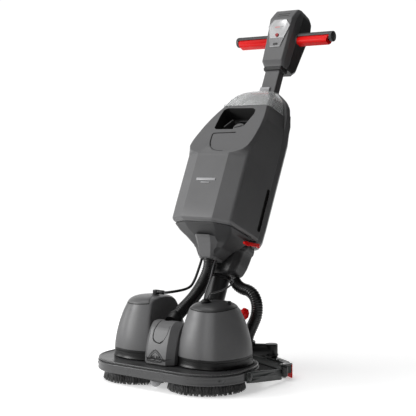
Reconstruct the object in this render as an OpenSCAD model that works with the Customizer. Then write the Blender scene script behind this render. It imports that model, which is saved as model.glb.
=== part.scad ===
// Walk-behind wet and dry floor scrubber: twin disc brushes under a skirted
// deck, battery domes, a leaning column with two tanks, and a control head.
// Millimetres. X runs to the machine's left-to-right, Y to the rear, Z up.
// Origin: on the floor, midway between the two brush spindles.

/* [Brushes] */
// Outer diameter of each brush at the floor
brush_d = 230; // [210:2:230]
// Distance between the two brush spindles
brush_pitch = 237.4; // [236:0.2:240]
// Diameter of the brush drive shafts
drive_d = 16; // [12:1:20]

/* [Deck] */
// Radius of the skirt around each brush
skirt_r = 126; // [125:0.5:128]
// Height of the skirt's lower edge above the floor
skirt_lo = 32; // [28:1:36]
// Height of the skirt's upper edge above the floor
skirt_hi = 57; // [56:0.5:58]
// Radius of the battery domes at their base
dome_r = 114; // [108:1:114]
// Wall of the moulded covers
wall = 3; // [2.5:0.5:3.5]

/* [Column] */
// Outer radius of the round neck
neck_r = 30; // [28:1:31]
// Width of the rectangular column tube
tube_w = 56; // [50:2:56]
// Depth of the rectangular column tube
tube_d = 30; // [26:1:30]
// Half width of the recovery tank
tank_hw = 118; // [112:1:120]
// Wall of the tanks
tank_wall = 3.5; // [3:0.5:4]

/* [Handle] */
// Overall length of the handlebar
bar_len = 366; // [340:2:380]
// Diameter of the grips
grip_d = 34; // [32:1:36]
// Travel of the squeeze triggers
trigger_travel = 5; // [3:0.5:5.5]

/* [Squeegee] */
// Radius of the squeegee's curved front face
squeegee_r = 412; // [408:1:416]
// Upward float of the squeegee
float_travel = 14; // [8:1:15]

/* [Hidden] */
$fn = 64;
lean = 25;
bx = brush_pitch / 2;
deck_y = 38;            // how far the deck runs straight before its rear arc
dcx = 111; dcy = 42;    // dome axis
pivot = [0, 188, 184];  // tilt axle
pw = (pivot[1] - 163) * sin(lean) + (pivot[2] - 130) * cos(lean);  // the same axle, along the column
pv = (pivot[1] - 163) * cos(lean) - (pivot[2] - 130) * sin(lean);  // and across it
grip_w = 994; grip_v = 14;
sq_c = [0, -122];     // centre of the squeegee's arc

// ---- hose and cable routes, world frame, round numbers along the real lay
vac_route = [[0, 6, 181], [0, 18, 189], [0, 40, 202], [0, 65, 215],
  [-0.5, 92, 229], [-2.5, 116, 243], [-5, 138, 257.5], [-6, 156, 274], [-5, 169, 292],
  [-2, 176, 312], [0, 178, 331], [0, 177, 348], [0, 179, 363]];
sq_route = [[50, 237, 272], [62, 235, 259], [82, 233, 250], [105, 231, 246],
  [124, 231, 232], [134, 231, 206], [132, 231, 174], [119, 232, 145],
  [105, 234, 119], [97, 236, 97], [96, 236, 76]];
left_cable_route = [[-69.6, 46, 247.5], [-62, 46.4, 247.8], [-54, 51, 249], [-42, 66, 251],
  [-35, 92, 253], [-32.5, 114, 256.5], [-31, 130, 264], [-30.5, 146, 281], [-29, 158, 303],
  [-27, 169, 327], [-27, 174, 338]];
right_cable_route = [[103, 11, 247.2], [102.8, 11.6, 251], [101, 17, 259], [93, 36, 272],
  [80, 66, 287], [62, 100, 301], [44, 132, 316], [32, 156, 328],
  [27, 171, 337]];
water_route = [[109, 17, 247.2], [108.4, 18.4, 250], [105, 28, 254.5], [94, 52, 258], [85, 80, 256],
  [82, 110, 256], [86, 138, 261], [88, 160, 269], [82, 182, 277],
  [70, 197, 282], [63, 204, 286.6]];

// ---- helpers
function nrm(a) = a / norm(a);
function tang(p, i) = i == 0 ? nrm(p[1] - p[0])
  : i == len(p) - 1 ? nrm(p[i] - p[i - 1]) : nrm(nrm(p[i + 1] - p[i]) + nrm(p[i] - p[i - 1]));
function side(p, i, n0) = let (t = tang(p, i), n = i == 0 ? n0 : side(p, i - 1, n0))
  nrm(n - (n * t) * t);

// a round tube swept along a route, one closed skin
module sweep(p, r, n = 10, n0 = [0, 0.2, 1]) {
  m = len(p);
  pts = [for (i = [0:m - 1]) let (t = tang(p, i), s = side(p, i, n0), b = cross(t, s))
    for (k = [0:n - 1]) p[i] + r * (cos(360 * k / n) * s + sin(360 * k / n) * b)];
  faces = concat([[for (k = [0:n - 1]) k]],
    [for (i = [0:m - 2], k = [0:n - 1]) [i * n + k, (i + 1) * n + k, (i + 1) * n + (k + 1) % n]],
    [for (i = [0:m - 2], k = [0:n - 1]) [i * n + k, (i + 1) * n + (k + 1) % n, i * n + (k + 1) % n]],
    [[for (k = [n - 1:-1:0]) (m - 1) * n + k]]);
  polyhedron(points = pts, faces = faces, convexity = 4);
}
// a solid through a stack of level outlines with the same number of points
module loft(rings) {
  n = len(rings[0]); m = len(rings);
  faces = concat([[for (k = [0:n - 1]) k]],
    [for (i = [0:m - 2], k = [0:n - 1]) [i * n + k, (i + 1) * n + k, (i + 1) * n + (k + 1) % n]],
    [for (i = [0:m - 2], k = [0:n - 1]) [i * n + k, (i + 1) * n + (k + 1) % n, i * n + (k + 1) % n]],
    [[for (k = [n - 1:-1:0]) (m - 1) * n + k]]);
  polyhedron(points = [for (r = rings) each r], faces = faces, convexity = 6);
}
// outline at height w: front face hf at vf, corner hc at vc, rear hs at vr
function six(w, hf, vf, hc, vc, hs, vr) = [[-hf, vf, w], [hf, vf, w],
  [hc, vc, w], [hs, vr, w], [-hs, vr, w], [-hc, vc, w]];
// outline with chamfered rear corners as well
function eight(w, hf, vf, hc, vc, hs, vs, hr, vr) = [[-hf, vf, w], [hf, vf, w],
  [hc, vc, w], [hs, vs, w], [hr, vr, w], [-hr, vr, w], [-hs, vs, w], [-hc, vc, w]];
// everything on the leaning column is drawn upright and leaned once
module col() { translate([0, 163, 130]) rotate([-lean, 0, 0]) children(); }
// plan outline of the deck, r around both brushes
module plan(r) {
  translate([-bx, -r]) square([2 * bx, 2 * r + deck_y]);
  translate([-bx - r, 0]) square([2 * bx + 2 * r, deck_y]);
  for (s = [-1, 1], y = [0, deck_y]) translate([s * bx, y]) circle(r, $fn = 128);
}
// plan outline of the domes and the centre cover together
module dome_plan(r) {
  for (s = [-1, 1]) translate([s * dcx, dcy]) circle(r, $fn = 128);
  e = r - dome_r;
  polygon([[-34 - e, -81 - e], [34 + e, -81 - e], [56, -65 - e], [56, 142 + e], [-56, 142 + e], [-56, -65 - e]]);
}
// arc of the squeegee: radii a to b, half angle h, heights z0 to z1
module arc(a, b, h, z0, z1) {
  translate([sq_c[0], sq_c[1], 0]) rotate([0, 0, 90 - h])
    rotate_extrude(angle = 2 * h, $fn = 180) translate([a, z0]) square([b - a, z1 - z0]);
}

// ---- deck
module deck_pan() color([0.30, 0.30, 0.31]) {
  difference() {
    union() {
      translate([0, 0, skirt_hi]) linear_extrude(5) plan(skirt_r - 1.5);
      translate([0, 0, skirt_lo + 3]) linear_extrude(skirt_hi - skirt_lo - 2) difference() {
        plan(skirt_r - 4.2);
        plan(skirt_r - 7.2);
      }
    }
    for (s = [-1, 1]) translate([s * bx, 0, 40]) cylinder(h = 40, d = 60);
    translate([0, -20, 40]) cylinder(h = 40, d = 30);
  }
}
module skirt_band() color([0.42, 0.42, 0.43])
  translate([0, 0, skirt_lo]) linear_extrude(skirt_hi - skirt_lo) difference() {
    plan(skirt_r);
    plan(skirt_r - 4);
  }
module plinth() color([0.06, 0.06, 0.065]) difference() {
  union() {
    translate([0, 0, 62]) linear_extrude(5) dome_plan(dome_r + 2);
    translate([0, 0, 66.9]) linear_extrude(15.1) dome_plan(dome_r + 0.5);
  }
  translate([0, 0, 65]) linear_extrude(40) dome_plan(dome_r - 3);
  for (s = [-1, 1]) translate([s * bx, 0, 40]) cylinder(h = 40, d = 60);
  translate([0, -20, 40]) cylinder(h = 40, d = 30);
}
module dome_shape(o) {
  difference() {
    rotate_extrude($fn = 128) polygon([[0, 60], [dome_r - o, 60],
      [dome_r - o, 96 - o / 2], [dome_r - 5 - o, 122], [dome_r - 10 - o, 142], [dome_r - 18 - o, 172 - o / 2],
      [dome_r - 28 - o, 200 - o / 2], [dome_r - 37 - o, 217 - o], [dome_r - 48 - o, 229 - o],
      [dome_r - 62 - o, 236 - o], [dome_r - 80, 239 - o], [0, 240 - o]]);
    translate([-200 - dcx + 54 + o, -200, 0]) cube([200, 400, 400]);
  }
}
module dome(s) translate([s * dcx, dcy, 0]) mirror([s < 0 ? 1 : 0, 0, 0]) difference() {
  intersection() { dome_shape(0); translate([-200, -200, 82.2]) cube([400, 400, 300]); }
  difference() { dome_shape(wall); translate([-200, -200, 0]) cube([400, 400, 70]); }
  // seat of the vent plug
  if (s > 0) translate([162 - dcx, 46 - dcy, 220]) cylinder(h = 40, d = 13.04);
}
module left_dome() color([0.38, 0.38, 0.39]) dome(-1);
module right_dome() color([0.38, 0.38, 0.39]) dome(1);
// side profile of the centre cover at x, its front set back by b and its skin inward by o
function cover_ring(x, b, o) = [for (p = [[106 - o, 60], [104 - o, 100], [92 - o, 138 - o / 2],
  [50, 162 - o - b * 0.3], [4, 176 - o - b * 0.3], [-24 + b * 0.3, 182 - o - b * 0.3],
  [-42 + o / 2 + b * 0.6, 179 - o - b * 0.4], [-54 + o + b, 166 - o / 2 - b * 0.2], [-62 + o + b, 146],
  [-71 + o + b, 118], [-78 + o + b, 88], [-80 + o + b, 60]]) [x, p[0], p[1]]];
module centre_shape(o) loft([cover_ring(-53 + o, 15, o), cover_ring(-35, 0, o), cover_ring(35, 0, o),
  cover_ring(53 - o, 15, o)]);
module centre_cover() color([0.38, 0.38, 0.39]) difference() {
  intersection() { centre_shape(0); translate([-100, -150, 82.2]) cube([200, 400, 200]); }
  difference() { centre_shape(wall); translate([-100, -150, 0]) cube([200, 400, 70]); }
  translate(vac_route[0]) rotate([-55, 0, 0]) translate([0, 0, -30]) cylinder(h = 45, d = 44.04);
}
module brush_motors() color([0.55, 0.56, 0.58]) for (s = [-1, 1]) translate([s * bx, 0, 0]) {
  translate([0, 0, 65]) cylinder(h = 86, d = 88);
  translate([0, 0, 52]) cylinder(h = 14, d = 56);
  translate([0, 0, 31]) cylinder(h = 22, d = drive_d);
}
module batteries() color([0.12, 0.13, 0.15]) for (s = [-1, 1])
  translate([s * 113 - 44, -2, 153]) cube([88, 88, 60]);
module vacuum_motor() color([0.50, 0.51, 0.53]) translate([0, -18, 0]) {
  translate([0, 0, 65]) cylinder(h = 70, d = 84);
  translate([0, 0, 134]) cylinder(h = 20, d = 10);
}
module vacuum_fan() color([0.75, 0.76, 0.78]) translate([0, -18, 0]) difference() {
  union() {
    translate([0, 0, 138]) cylinder(h = 2, r = 37);
    translate([0, 0, 138]) cylinder(h = 14, r = 9);
    for (i = [0:8]) rotate([0, 0, i * 40]) translate([6, -1, 138]) cube([30, 2, 11]);
  }
  translate([0, 0, 130]) cylinder(h = 40, d = 10.1);
}
module tilt_bracket() color([0.16, 0.16, 0.17]) difference() {
  union() {
    translate([-46, 152.5, 62]) cube([92, 8, 5]);
    for (s = [-1, 1]) translate([s * 40.5 - 5.5, 0, 0]) rotate([90, 0, 90]) linear_extrude(11) {
      polygon([[152.5, 62], [160, 62], [208, 168], [208, 190], [170, 198], [154, 150]]);
      translate([pivot[1], pivot[2]]) circle(24);
    }
  }
  translate([-80, pivot[1], pivot[2]]) rotate([0, 90, 0]) cylinder(h = 160, d = 16.04);
}
module tilt_axle() color([0.70, 0.71, 0.73]) translate([0, pivot[1], pivot[2]]) rotate([0, 90, 0]) {
  translate([0, 0, -46.5]) cylinder(h = 168.5, d = 16);
  // pale shoulder between the bracket and the knob
  translate([0, 0, 46.2]) cylinder(h = 66.1, d = 23);
  translate([0, 0, -54]) cylinder(h = 7.8, d = 26);
}
module lock_knob() color([0.80, 0.02, 0.03]) translate([112.8, pivot[1], pivot[2]]) rotate([0, 90, 0])
  difference() {
    union() {
      cylinder(h = 13, d = 31);
      for (i = [0:7]) rotate([0, 0, i * 45]) translate([13, 0, 0]) cylinder(h = 13, d = 8);
    }
    translate([0, 0, -1]) cylinder(h = 11, d = 16.1);
  }
module hose_cuff() color([0.07, 0.07, 0.075]) translate(vac_route[0]) rotate([-55, 0, 0])
  difference() {
    union() {
      translate([0, 0, -1]) cylinder(h = 3, d = 44);
      translate([0, 0, -14.5]) cylinder(h = 14, d = 44);
    }
    translate([0, 0, -0.8]) cylinder(h = 12, d = 39.4);
  }
module rear_carrier() color([0.20, 0.20, 0.21]) for (s = [-1, 1]) {
  translate([s * 64 - 17, 156, 62]) cube([34, 56, 5]);
  for (t = [-1, 1]) translate([s * 64 + t * 15 - 2, 0, 0]) rotate([90, 0, 90]) linear_extrude(4)
    polygon([[167, 62.5], [212, 62.5], [214, 50], [212, 16], [196, 16], [170, 46]]);
  translate([s * 64 - 18, 204, 25]) rotate([0, 90, 0]) cylinder(h = 36, r = 4);
}
module wheel(s) translate([s * 64 - 11, 204, 25]) rotate([0, 90, 0]) difference() {
  union() {
    cylinder(h = 22, d = 48);
    translate([0, 0, 3]) cylinder(h = 16, d = 50);
    translate([0, 0, -1.5]) cylinder(h = 25, d = 16);
  }
  translate([0, 0, -3]) cylinder(h = 30, d = 8.1);
}
module left_wheel() color([0.10, 0.10, 0.10]) wheel(-1);
module right_wheel() color([0.10, 0.10, 0.10]) wheel(1);
// slot bolts of the squeegee arms and small screws in the skirt
module deck_fasteners() color([0.60, 0.60, 0.61]) {
  for (s = [-1, 1]) mirror([s < 0 ? 1 : 0, 0, 0]) {
    translate([skirt_r + bx + 0.05, 20, 42]) rotate([0, 90, 0]) cylinder(h = 8.5, d = 7);
    translate([skirt_r + bx + 6.6, 20, 42]) rotate([0, 90, 0]) cylinder(h = 2.6, d = 12);
  }
  for (s = [-1, 1], e = [[0, -38], [deck_y, 52]]) translate([s * bx, e[0], 45]) rotate([0, 0, s > 0 ? e[1] : 180 - e[1]])
    translate([skirt_r + 0.05, 0, 0]) rotate([0, 90, 0]) cylinder(h = 1.2, d = 6);
}
// pale glide foot between the brushes
module centre_glide() color([0.75, 0.76, 0.78]) translate([0, -80, 0]) rotate_extrude($fn = 48)
  polygon([[0, 1.5], [5, 2.2], [10, 5], [14, 9.5], [16, 15], [16, 19], [13, 22], [6, 23], [6, skirt_hi - 0.1], [0, skirt_hi - 0.1]]);
module dome_fittings() color([0.05, 0.05, 0.055]) {
  // right dome: cable grommet and vent plug
  translate([106, 14, 240.1]) cylinder(h = 3, d = 30);
  translate([106, 14, 240.1]) cylinder(h = 6.8, d = 21);
  translate([162, 46, 231]) cylinder(h = 11.5, d = 13);
  // left dome: gland and battery connector
  translate([-100, 46, 240.1]) cylinder(h = 3, d = 24);
  translate([-93, 46, 247.5]) rotate([0, 90, 0]) cylinder(h = 23, d = 12);
  translate([-108, 39, 241.5]) cube([16, 14, 12]);
}

// ---- brushes
module brush_plate(s) translate([s * bx, 0, 0]) difference() {
  union() {
    translate([0, 0, 28]) cylinder(h = 9, r = brush_d / 2 - 7);
    translate([0, 0, 36]) cylinder(h = 14, d = 54);
    for (i = [0:5]) rotate([0, 0, i * 60]) translate([24, -2, 36.5]) cube([70, 4, 5]);
  }
  translate([0, 0, 0]) cylinder(h = 60, d = drive_d + 0.1);
}
module bristles(s) translate([s * bx, 0, 0]) rotate_extrude($fn = 128)
  polygon([[56, 28], [brush_d / 2 - 9, 28], [brush_d / 2, 0], [50, 0]]);
module left_brush_plate() color([0.12, 0.12, 0.12]) brush_plate(-1);
module right_brush_plate() color([0.12, 0.12, 0.12]) brush_plate(1);
module left_bristles() color([0.07, 0.07, 0.07]) bristles(-1);
module right_bristles() color([0.07, 0.07, 0.07]) bristles(1);

// ---- squeegee
module squeegee_beam() color([0.17, 0.18, 0.18]) {
  difference() {
    union() {
      arc(squeegee_r - 2, squeegee_r + 28, 34.6, 16, 44);
      arc(squeegee_r + 3, squeegee_r + 25, 33.4, 43, 48);
    }
    arc(squeegee_r + 2, squeegee_r + 24, 33, 10, 39);
    translate([160, 271, 30]) cylinder(h = 40, d = 30);
  }
  // end brackets that carry the bumper rollers
  for (s = [-1, 1]) mirror([s < 0 ? 1 : 0, 0, 0]) {
    translate([233, 192, 43]) cube([25, 41, 5]);
    translate([249, 201, 12]) cylinder(h = 33, d = 6);
    translate([249, 201, 8]) cylinder(h = 4, d = 12);
  }
}
module side_arms() color([0.19, 0.21, 0.20]) for (s = [-1, 1]) mirror([s < 0 ? 1 : 0, 0, 0]) difference() {
  union() {
    translate([skirt_r + bx + 1.2, 0, 0]) rotate([90, 0, 90]) linear_extrude(5)
      polygon([[8, 28], [60, 21], [186, 6], [186, 37], [60, 54], [8, 58]]);
    // rear block that joins the beam
    translate([0, 0, 24]) linear_extrude(13) polygon([[246, 168], [246, 184], [237, 188], [235, 213],
      [232, 215], [224, 220.5], [224, 200], [231, 184], [231, 168]]);
    // stiffening rib
    translate([skirt_r + bx + 1.2, 60, 38]) rotate([0, 0, 0]) cube([5.6, 4, 12]);
  }
  hull() for (z = [0, -float_travel]) translate([230, 20, 42 + z]) rotate([0, 90, 0]) cylinder(h = 40, d = 7.6, $fn = 32);
}
module rear_blade() color([0.80, 0.02, 0.03]) arc(squeegee_r + 28.1, squeegee_r + 32, 34.8, 0, 42);
module front_blade() color([0.09, 0.09, 0.09]) difference() {
  arc(squeegee_r - 6, squeegee_r - 2.1, 34.8, 0, 22);
  for (a = [-32:4:32]) translate([sq_c[0], sq_c[1], 0]) rotate([0, 0, a]) translate([-3, 390, -1]) cube([6, 40, 5]);
}
module blade_clamp() color([0.62, 0.63, 0.62]) {
  arc(squeegee_r + 32.1, squeegee_r + 34, 34, 27, 40);
  for (a = [-32:8:32]) translate([sq_c[0], sq_c[1], 0]) rotate([0, 0, a])
    translate([0, squeegee_r + 33.9, 33.5]) rotate([-90, 0, 0]) cylinder(h = 7, d = 9, $fn = 6);
}
module suction_elbow() color([0.06, 0.06, 0.065]) difference() {
  union() {
    translate([96, 236, 50]) cylinder(h = 42, d = 46);
    translate([96, 236, 68]) rotate([0, 90, 28.7]) cylinder(h = 73, d = 38);
    translate([160, 271, 48.1]) cylinder(h = 39, d = 38);
    translate([96, 236, 88]) cylinder(h = 6, d = 50);
  }
  translate([96, 236, 58]) cylinder(h = 60, d = 40.4);
}
module roller(s) translate([s * 249, 201, 13]) difference() {
  union() {
    cylinder(h = 29, d = 20);
    translate([0, 0, 4]) cylinder(h = 21, d = 22);
  }
  translate([0, 0, -1]) cylinder(h = 40, d = 6.1);
}
module left_roller() color([0.36, 0.39, 0.38]) roller(-1);
module right_roller() color([0.36, 0.39, 0.38]) roller(1);

// ---- column
module neck_tube() color([0.14, 0.14, 0.15]) col() difference() {
  union() {
    translate([0, 0, pw]) cylinder(h = 188 - pw, r = neck_r);
    translate([-34.5, pv, pw]) rotate([0, 90, 0]) cylinder(h = 69, r = 27);
  }
  translate([0, 0, pw + 34]) cylinder(h = 200, r = neck_r - 4);
  translate([-50, pv, pw]) rotate([0, 90, 0]) cylinder(h = 100, d = 16.12);
}
module column_tube() color([0.36, 0.36, 0.37]) col() difference() {
  translate([-tube_w / 2, 7 - tube_d / 2, 188.2]) cube([tube_w, tube_d, 712]);
  translate([3 - tube_w / 2, 10 - tube_d / 2, 180]) cube([tube_w - 6, tube_d - 6, 800]);
}
module tube_hole(g = 0.2) translate([-tube_w / 2 - g, 7 - tube_d / 2 - g, 100]) cube([tube_w + 2 * g, tube_d + 2 * g, 900]);
module lower_housing() color([0.40, 0.40, 0.41]) col() difference() {
  loft([six(197, 24, -99, 29, -92, 32, -50.5), six(204, 28, -104, 36, -94, 42, -50.5),
    six(240, 30, -120, 66, -106, 84, -50.5), six(262, 50, -150, 94, -134, 108, -50.5),
    six(277.5, 54, -176, 104, -156, 114, -50.5)]);
  difference() {
    loft([six(200, 20, -95, 25, -88, 28, -54), six(207, 24, -99, 32, -90, 38, -54),
      six(240, 26, -115, 61, -102, 80, -54), six(262, 46, -144, 89, -130, 104, -54),
      six(273, 49, -168, 98, -150, 108, -54)]);
    translate([0, -84, 226]) cylinder(h = 100, d = 42);
  }
  // slanting mouth for the suction hose
  translate([0, -75.9, 197]) rotate([21.1, 0, 0]) translate([0, 0, -20]) cylinder(h = 48, d = 41);
}
module underside_block() color([0.13, 0.13, 0.14]) {
  col() difference() {
    union() {
      // saddle plate under the solution tank
      translate([0, 0, 157]) cylinder(h = 14, r = neck_r + 6.5);
      translate([0, 0, 240]) linear_extrude(21.5) polygon([[-60, -50], [92, -50], [100, -40], [100, 4],
        [88, 18], [-60, 18], [-66, 4], [-66, -40]]);
      // hose port housing, on the right only
      intersection() {
        translate([0, 0, 165]) linear_extrude(80) polygon([[-38, -50], [70, -50], [84, -36], [84, 10], [68, 24],
          [-38, 24]]);
        translate([0, 40, 0]) rotate([90, 0, 0]) linear_extrude(100) polygon([[-34, 165], [58, 165], [76, 176],
          [84, 200], [84, 242], [-38, 242], [-38, 170]]);
      }
    }
    translate([0, 0, 150]) cylinder(h = 38.1, r = neck_r + 0.05);
    tube_hole();
    // channels for the suction hose in front and the squeegee hose at the side
    translate([0, -60.5, 161.6]) rotate([10.9, 0, 0]) cylinder(h = 60, r = 20.6, center = true);
    translate([0, -66.9, 180.1]) rotate([27.9, 0, 0]) cylinder(h = 60, r = 20.6, center = true);
    translate([50, 7.06, 160]) rotate([0, 0, 197.2]) rotate([0, 44.9, 0]) translate([0, 0, -30]) cylinder(h = 31, r = 19.6);
  }
}
module tank_shape(o) loft([
  six(o > 0 ? 282 : 278, 52 - o, -184 + o, 102 - o, -160 + o, tank_hw - 3 - o, -22.5 - o),
  six(287 + o, 56 - o, -190.5 + o, 109 - o, -167 + o, tank_hw - o, -22.5 - o),
  six(491.5 - o / 2, 56 - o, -193 + o, 110 - o, -168.5 + o, tank_hw - o, -22.5 - o),
  six(506 - o / 2, 96 - o, -187 + o, 111.5 - o, -167.5 + o, tank_hw - o, -22.5 - o),
  six(541 - o / 2, 109 - o, -170.4 + o, 114 - o, -157 + o, tank_hw - o, -22.5 - o),
  six(572 - o / 2, 107.5 - o, -156 + o, 113 - o, -143 + o, tank_hw - 1 - o, -22.5 - o),
  six(607 - o / 2, 104 - o, -139.6 + o, 109.5 - o, -128 + o, tank_hw - 3 - o, -22.5 - o),
  six(640 - o / 2, 97.5 - o, -124 + o, 103 - o, -114 + o, tank_hw - 7 - o, -22.5 - o),
  six(o > 0 ? 700 : 690, 80.5 - o, (o > 0 ? -97 : -100.7) + o, 86 - o, (o > 0 ? -89 : -92.5) + o, 99.5 - o, -22.5 - o)]);
// pocket behind the carrying window, square to the sloping hood
module pocket(g) translate([0, -134, 632]) rotate([-25, 0, 0]) translate([0, 0, 0])
  rotate([90, 0, 0]) translate([0, 0, -45 - g]) linear_extrude(83 + g)
    polygon([[-56 - g, -40 - g], [40 + g, -40 - g], [50 + g, 28], [46 + g, 46 + g / 2],
      [34 + g / 2, 54 + g], [-61 - g / 2, 54 + g], [-69 - g, 44 + g / 2], [-67 - g, 20]]);
module recovery_tank() color([0.42, 0.42, 0.43]) col() difference() {
  union() {
    difference() {
      tank_shape(0);
      difference() { tank_shape(tank_wall); pocket(3); }
    }
  }
  pocket(0);
  // long grip recess down each side
  for (s = [-1, 1]) mirror([s < 0 ? 1 : 0, 0, 0]) translate([tank_hw - 2, -38, 305]) cube([5, 13, 137]);
  // pipe seat
  translate([0, -68, 275]) cylinder(h = 20, d = 28);
}
module filler_cap() color([0.40, 0.40, 0.41]) col() translate([0, -134, 632]) rotate([-25, 0, 0])
  translate([11, 0, -16]) rotate([90, 0, 0]) {
    translate([0, 0, -44.9]) cylinder(h = 14, d = 40);
    translate([0, 0, -31]) cylinder(h = 3, d = 34);
    translate([-15, -2.5, -30]) cube([30, 5, 6]);
  }
module solution_shape(o) loft([
  six(o > 0 ? 268 : 262, 100 - o, -21 + o, 106 - o, 0, 92 - o, 20 - o),
  six(284, 112 - o, -21 + o, 117 - o, 2, 104 - o, 25 - o),
  six(612, 112 - o, -21 + o, tank_hw - o, 4, 106 - o, 27 - o),
  six(668 - o, 111 - o, -21 + o, 115 - o, 3, 101 - o, 22 - o),
  six(o > 0 ? 690 : 702, 105 - o, -21 + o, 110 - o, -2, 96 - o, (o > 0 ? 14 : 12) - o)]);
module solution_tank() color([0.33, 0.33, 0.34]) col() difference() {
  union() {
    solution_shape(0);
    // shoulder in front of the column tube, behind the lid
    loft([six(701, 104, -21, 109, -4, 95, 11.5), six(728, 96, -21, 102, -5, 88, 7),
      six(750, 81, -21, 87, -7, 74, 2), six(768, 61, -21, 66, -9, 56, -3), six(780, 46, -21, 49, -12, 44, -6)]);
    translate([98, -14, 267]) rotate([0, 90, 0]) cylinder(h = 22.5, d = 4.9);
  }
  difference() {
    solution_shape(tank_wall);
    translate([-tube_w / 2 - 3.5, -11.5, 200]) cube([tube_w + 7, 60, 600]);
  }
  tube_hole();
  translate([-tube_w / 2 - 0.2, 0, 200]) cube([tube_w + 0.4, 60, 700]);
}
module standpipe() color([0.20, 0.20, 0.21]) col() translate([0, -68, 0]) difference() {
  union() {
    translate([0, 0, 282.2]) cylinder(h = 310, d = 28);
    translate([0, 0, 589]) cylinder(h = 6, d = 36);
    translate([0, 0, 520]) cylinder(h = 4, d = 36);
  }
  translate([0, 0, 270]) cylinder(h = 400, d = 22);
}
module float_ring() color([0.85, 0.84, 0.80]) col() translate([0, -68, 524.3]) difference() {
  cylinder(h = 28, d = 58);
  translate([0, 0, -1]) cylinder(h = 40, d = 28.2);
}
module water_pump() color([0.25, 0.26, 0.28]) col() {
  translate([24, -96, 240]) cube([34, 38, 26]);
  translate([44, -78, 253]) rotate([0, 90, 0]) cylinder(h = 24, d = 18);
}

// ---- head and handle
module head_shape(o) loft([
  eight(882 + o, 31 - o, -14 + o, 38 - o, -8, 39 - o, 48, 28 - o, 62 - o),
  eight(897 + o / 2, 36 - o, -27 + o, 43 - o, -17, 45 - o, 56, 32 - o, 70 - o),
  eight(970, 38 - o, -29 + o, 46 - o, -18, 48 - o, 66, 34 - o, 84 - o),
  eight(1019, 40 - o, -32.5 + o, 49 - o, -20, 51 - o, 72, 36 - o, 91 - o),
  eight(1046, 41 - o, -35 + o, 50 - o, -20, 52 - o, 74, 37 - o, 94 - o),
  eight(1074 - o, 41 - o, -20 + o, 51 - o, -8, 53 - o, 66, 37 - o, 90 - o),
  eight(1088 - o, 41 - o, -12 + o, 49 - o, 0, 50 - o, 50, 36 - o, 72 - o),
  eight(1093 - o, 40 - o, -6 + o, 46 - o, 2, 47 - o, 36, 36 - o, 50 - o)]);
module bar_hole(d) translate([-100, grip_v, grip_w]) rotate([0, 90, 0]) cylinder(h = 200, d = d);
module head_front_cover() color([0.42, 0.42, 0.43]) col() difference() {
  intersection() { head_shape(0); translate([-100, -60, 800]) cube([200, 60 + grip_v - 0.1, 400]); }
  head_shape(wall);
  bar_hole(24.2);
  tube_hole();
  // cooling slots and key openings
  for (w = [1058, 1067]) translate([-22, -50, w]) cube([44, 60, 2.5]);
  translate([0, -60, 984]) rotate([-90, 0, 0]) cylinder(h = 60, d = 15);
  translate([-10, -60, 948]) cube([20, 60, 10]);
}
module head_rear_cover() color([0.30, 0.30, 0.31]) col() difference() {
  intersection() { head_shape(0); translate([-100, grip_v + 0.1, 800]) cube([200, 200, 400]); }
  head_shape(wall);
  bar_hole(24.2);
  tube_hole();
}
module head_collar() color([0.20, 0.20, 0.21]) col() difference() {
  translate([-34, -14, 868]) cube([68, 42, 13.8]);
  tube_hole();
}
module tilt_face(v) translate([0, v, 992]) rotate([3.6, 0, 0]) children();
module control_plate() color([0.78, 0.78, 0.79]) col() difference() {
  tilt_face(-31.2) rotate([90, 0, 0]) translate([0, -992, 0.3]) linear_extrude(2.2)
    polygon([[-19, 943], [19, 943], [24, 964], [41, 1018], [23, 1040], [-23, 1040], [-41, 1018], [-24, 964]]);
  translate([0, -60, 984]) rotate([-90, 0, 0]) cylinder(h = 60, d = 12.4);
  translate([-8.2, -60, 949.8]) cube([16.4, 60, 6.4]);
}
module control_board() color([0.05, 0.25, 0.12]) col() {
  translate([-30, -16, 936]) cube([60, 1.8, 100]);
  translate([-20, -14.3, 1000]) cube([14, 6, 18]);
  translate([6, -14.3, 1005]) cylinder(h = 12, d = 8);
}
module power_button() color([0.55, 0.04, 0.05]) col() translate([0, 0, 984]) rotate([-90, 0, 0]) {
  translate([0, 0, -36.4]) cylinder(h = 12, d = 12);
  translate([0, 0, -27]) cylinder(h = 4, d = 14);
}
module water_button() color([0.45, 0.45, 0.46]) col() {
  translate([-8, -33.2, 950]) cube([16, 12, 6]);
}
module handle_bar() color([0.30, 0.30, 0.31]) col() translate([0, grip_v, grip_w]) rotate([0, 90, 0]) {
  difference() {
    union() {
      translate([0, 0, -bar_len / 2 + 3.1]) cylinder(h = bar_len - 6.2, d = 18);
      translate([0, 0, -52]) cylinder(h = 104, d = 24);
    }
    translate([0, 0, -bar_len]) cylinder(h = 2 * bar_len, d = 13);
  }
}
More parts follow.
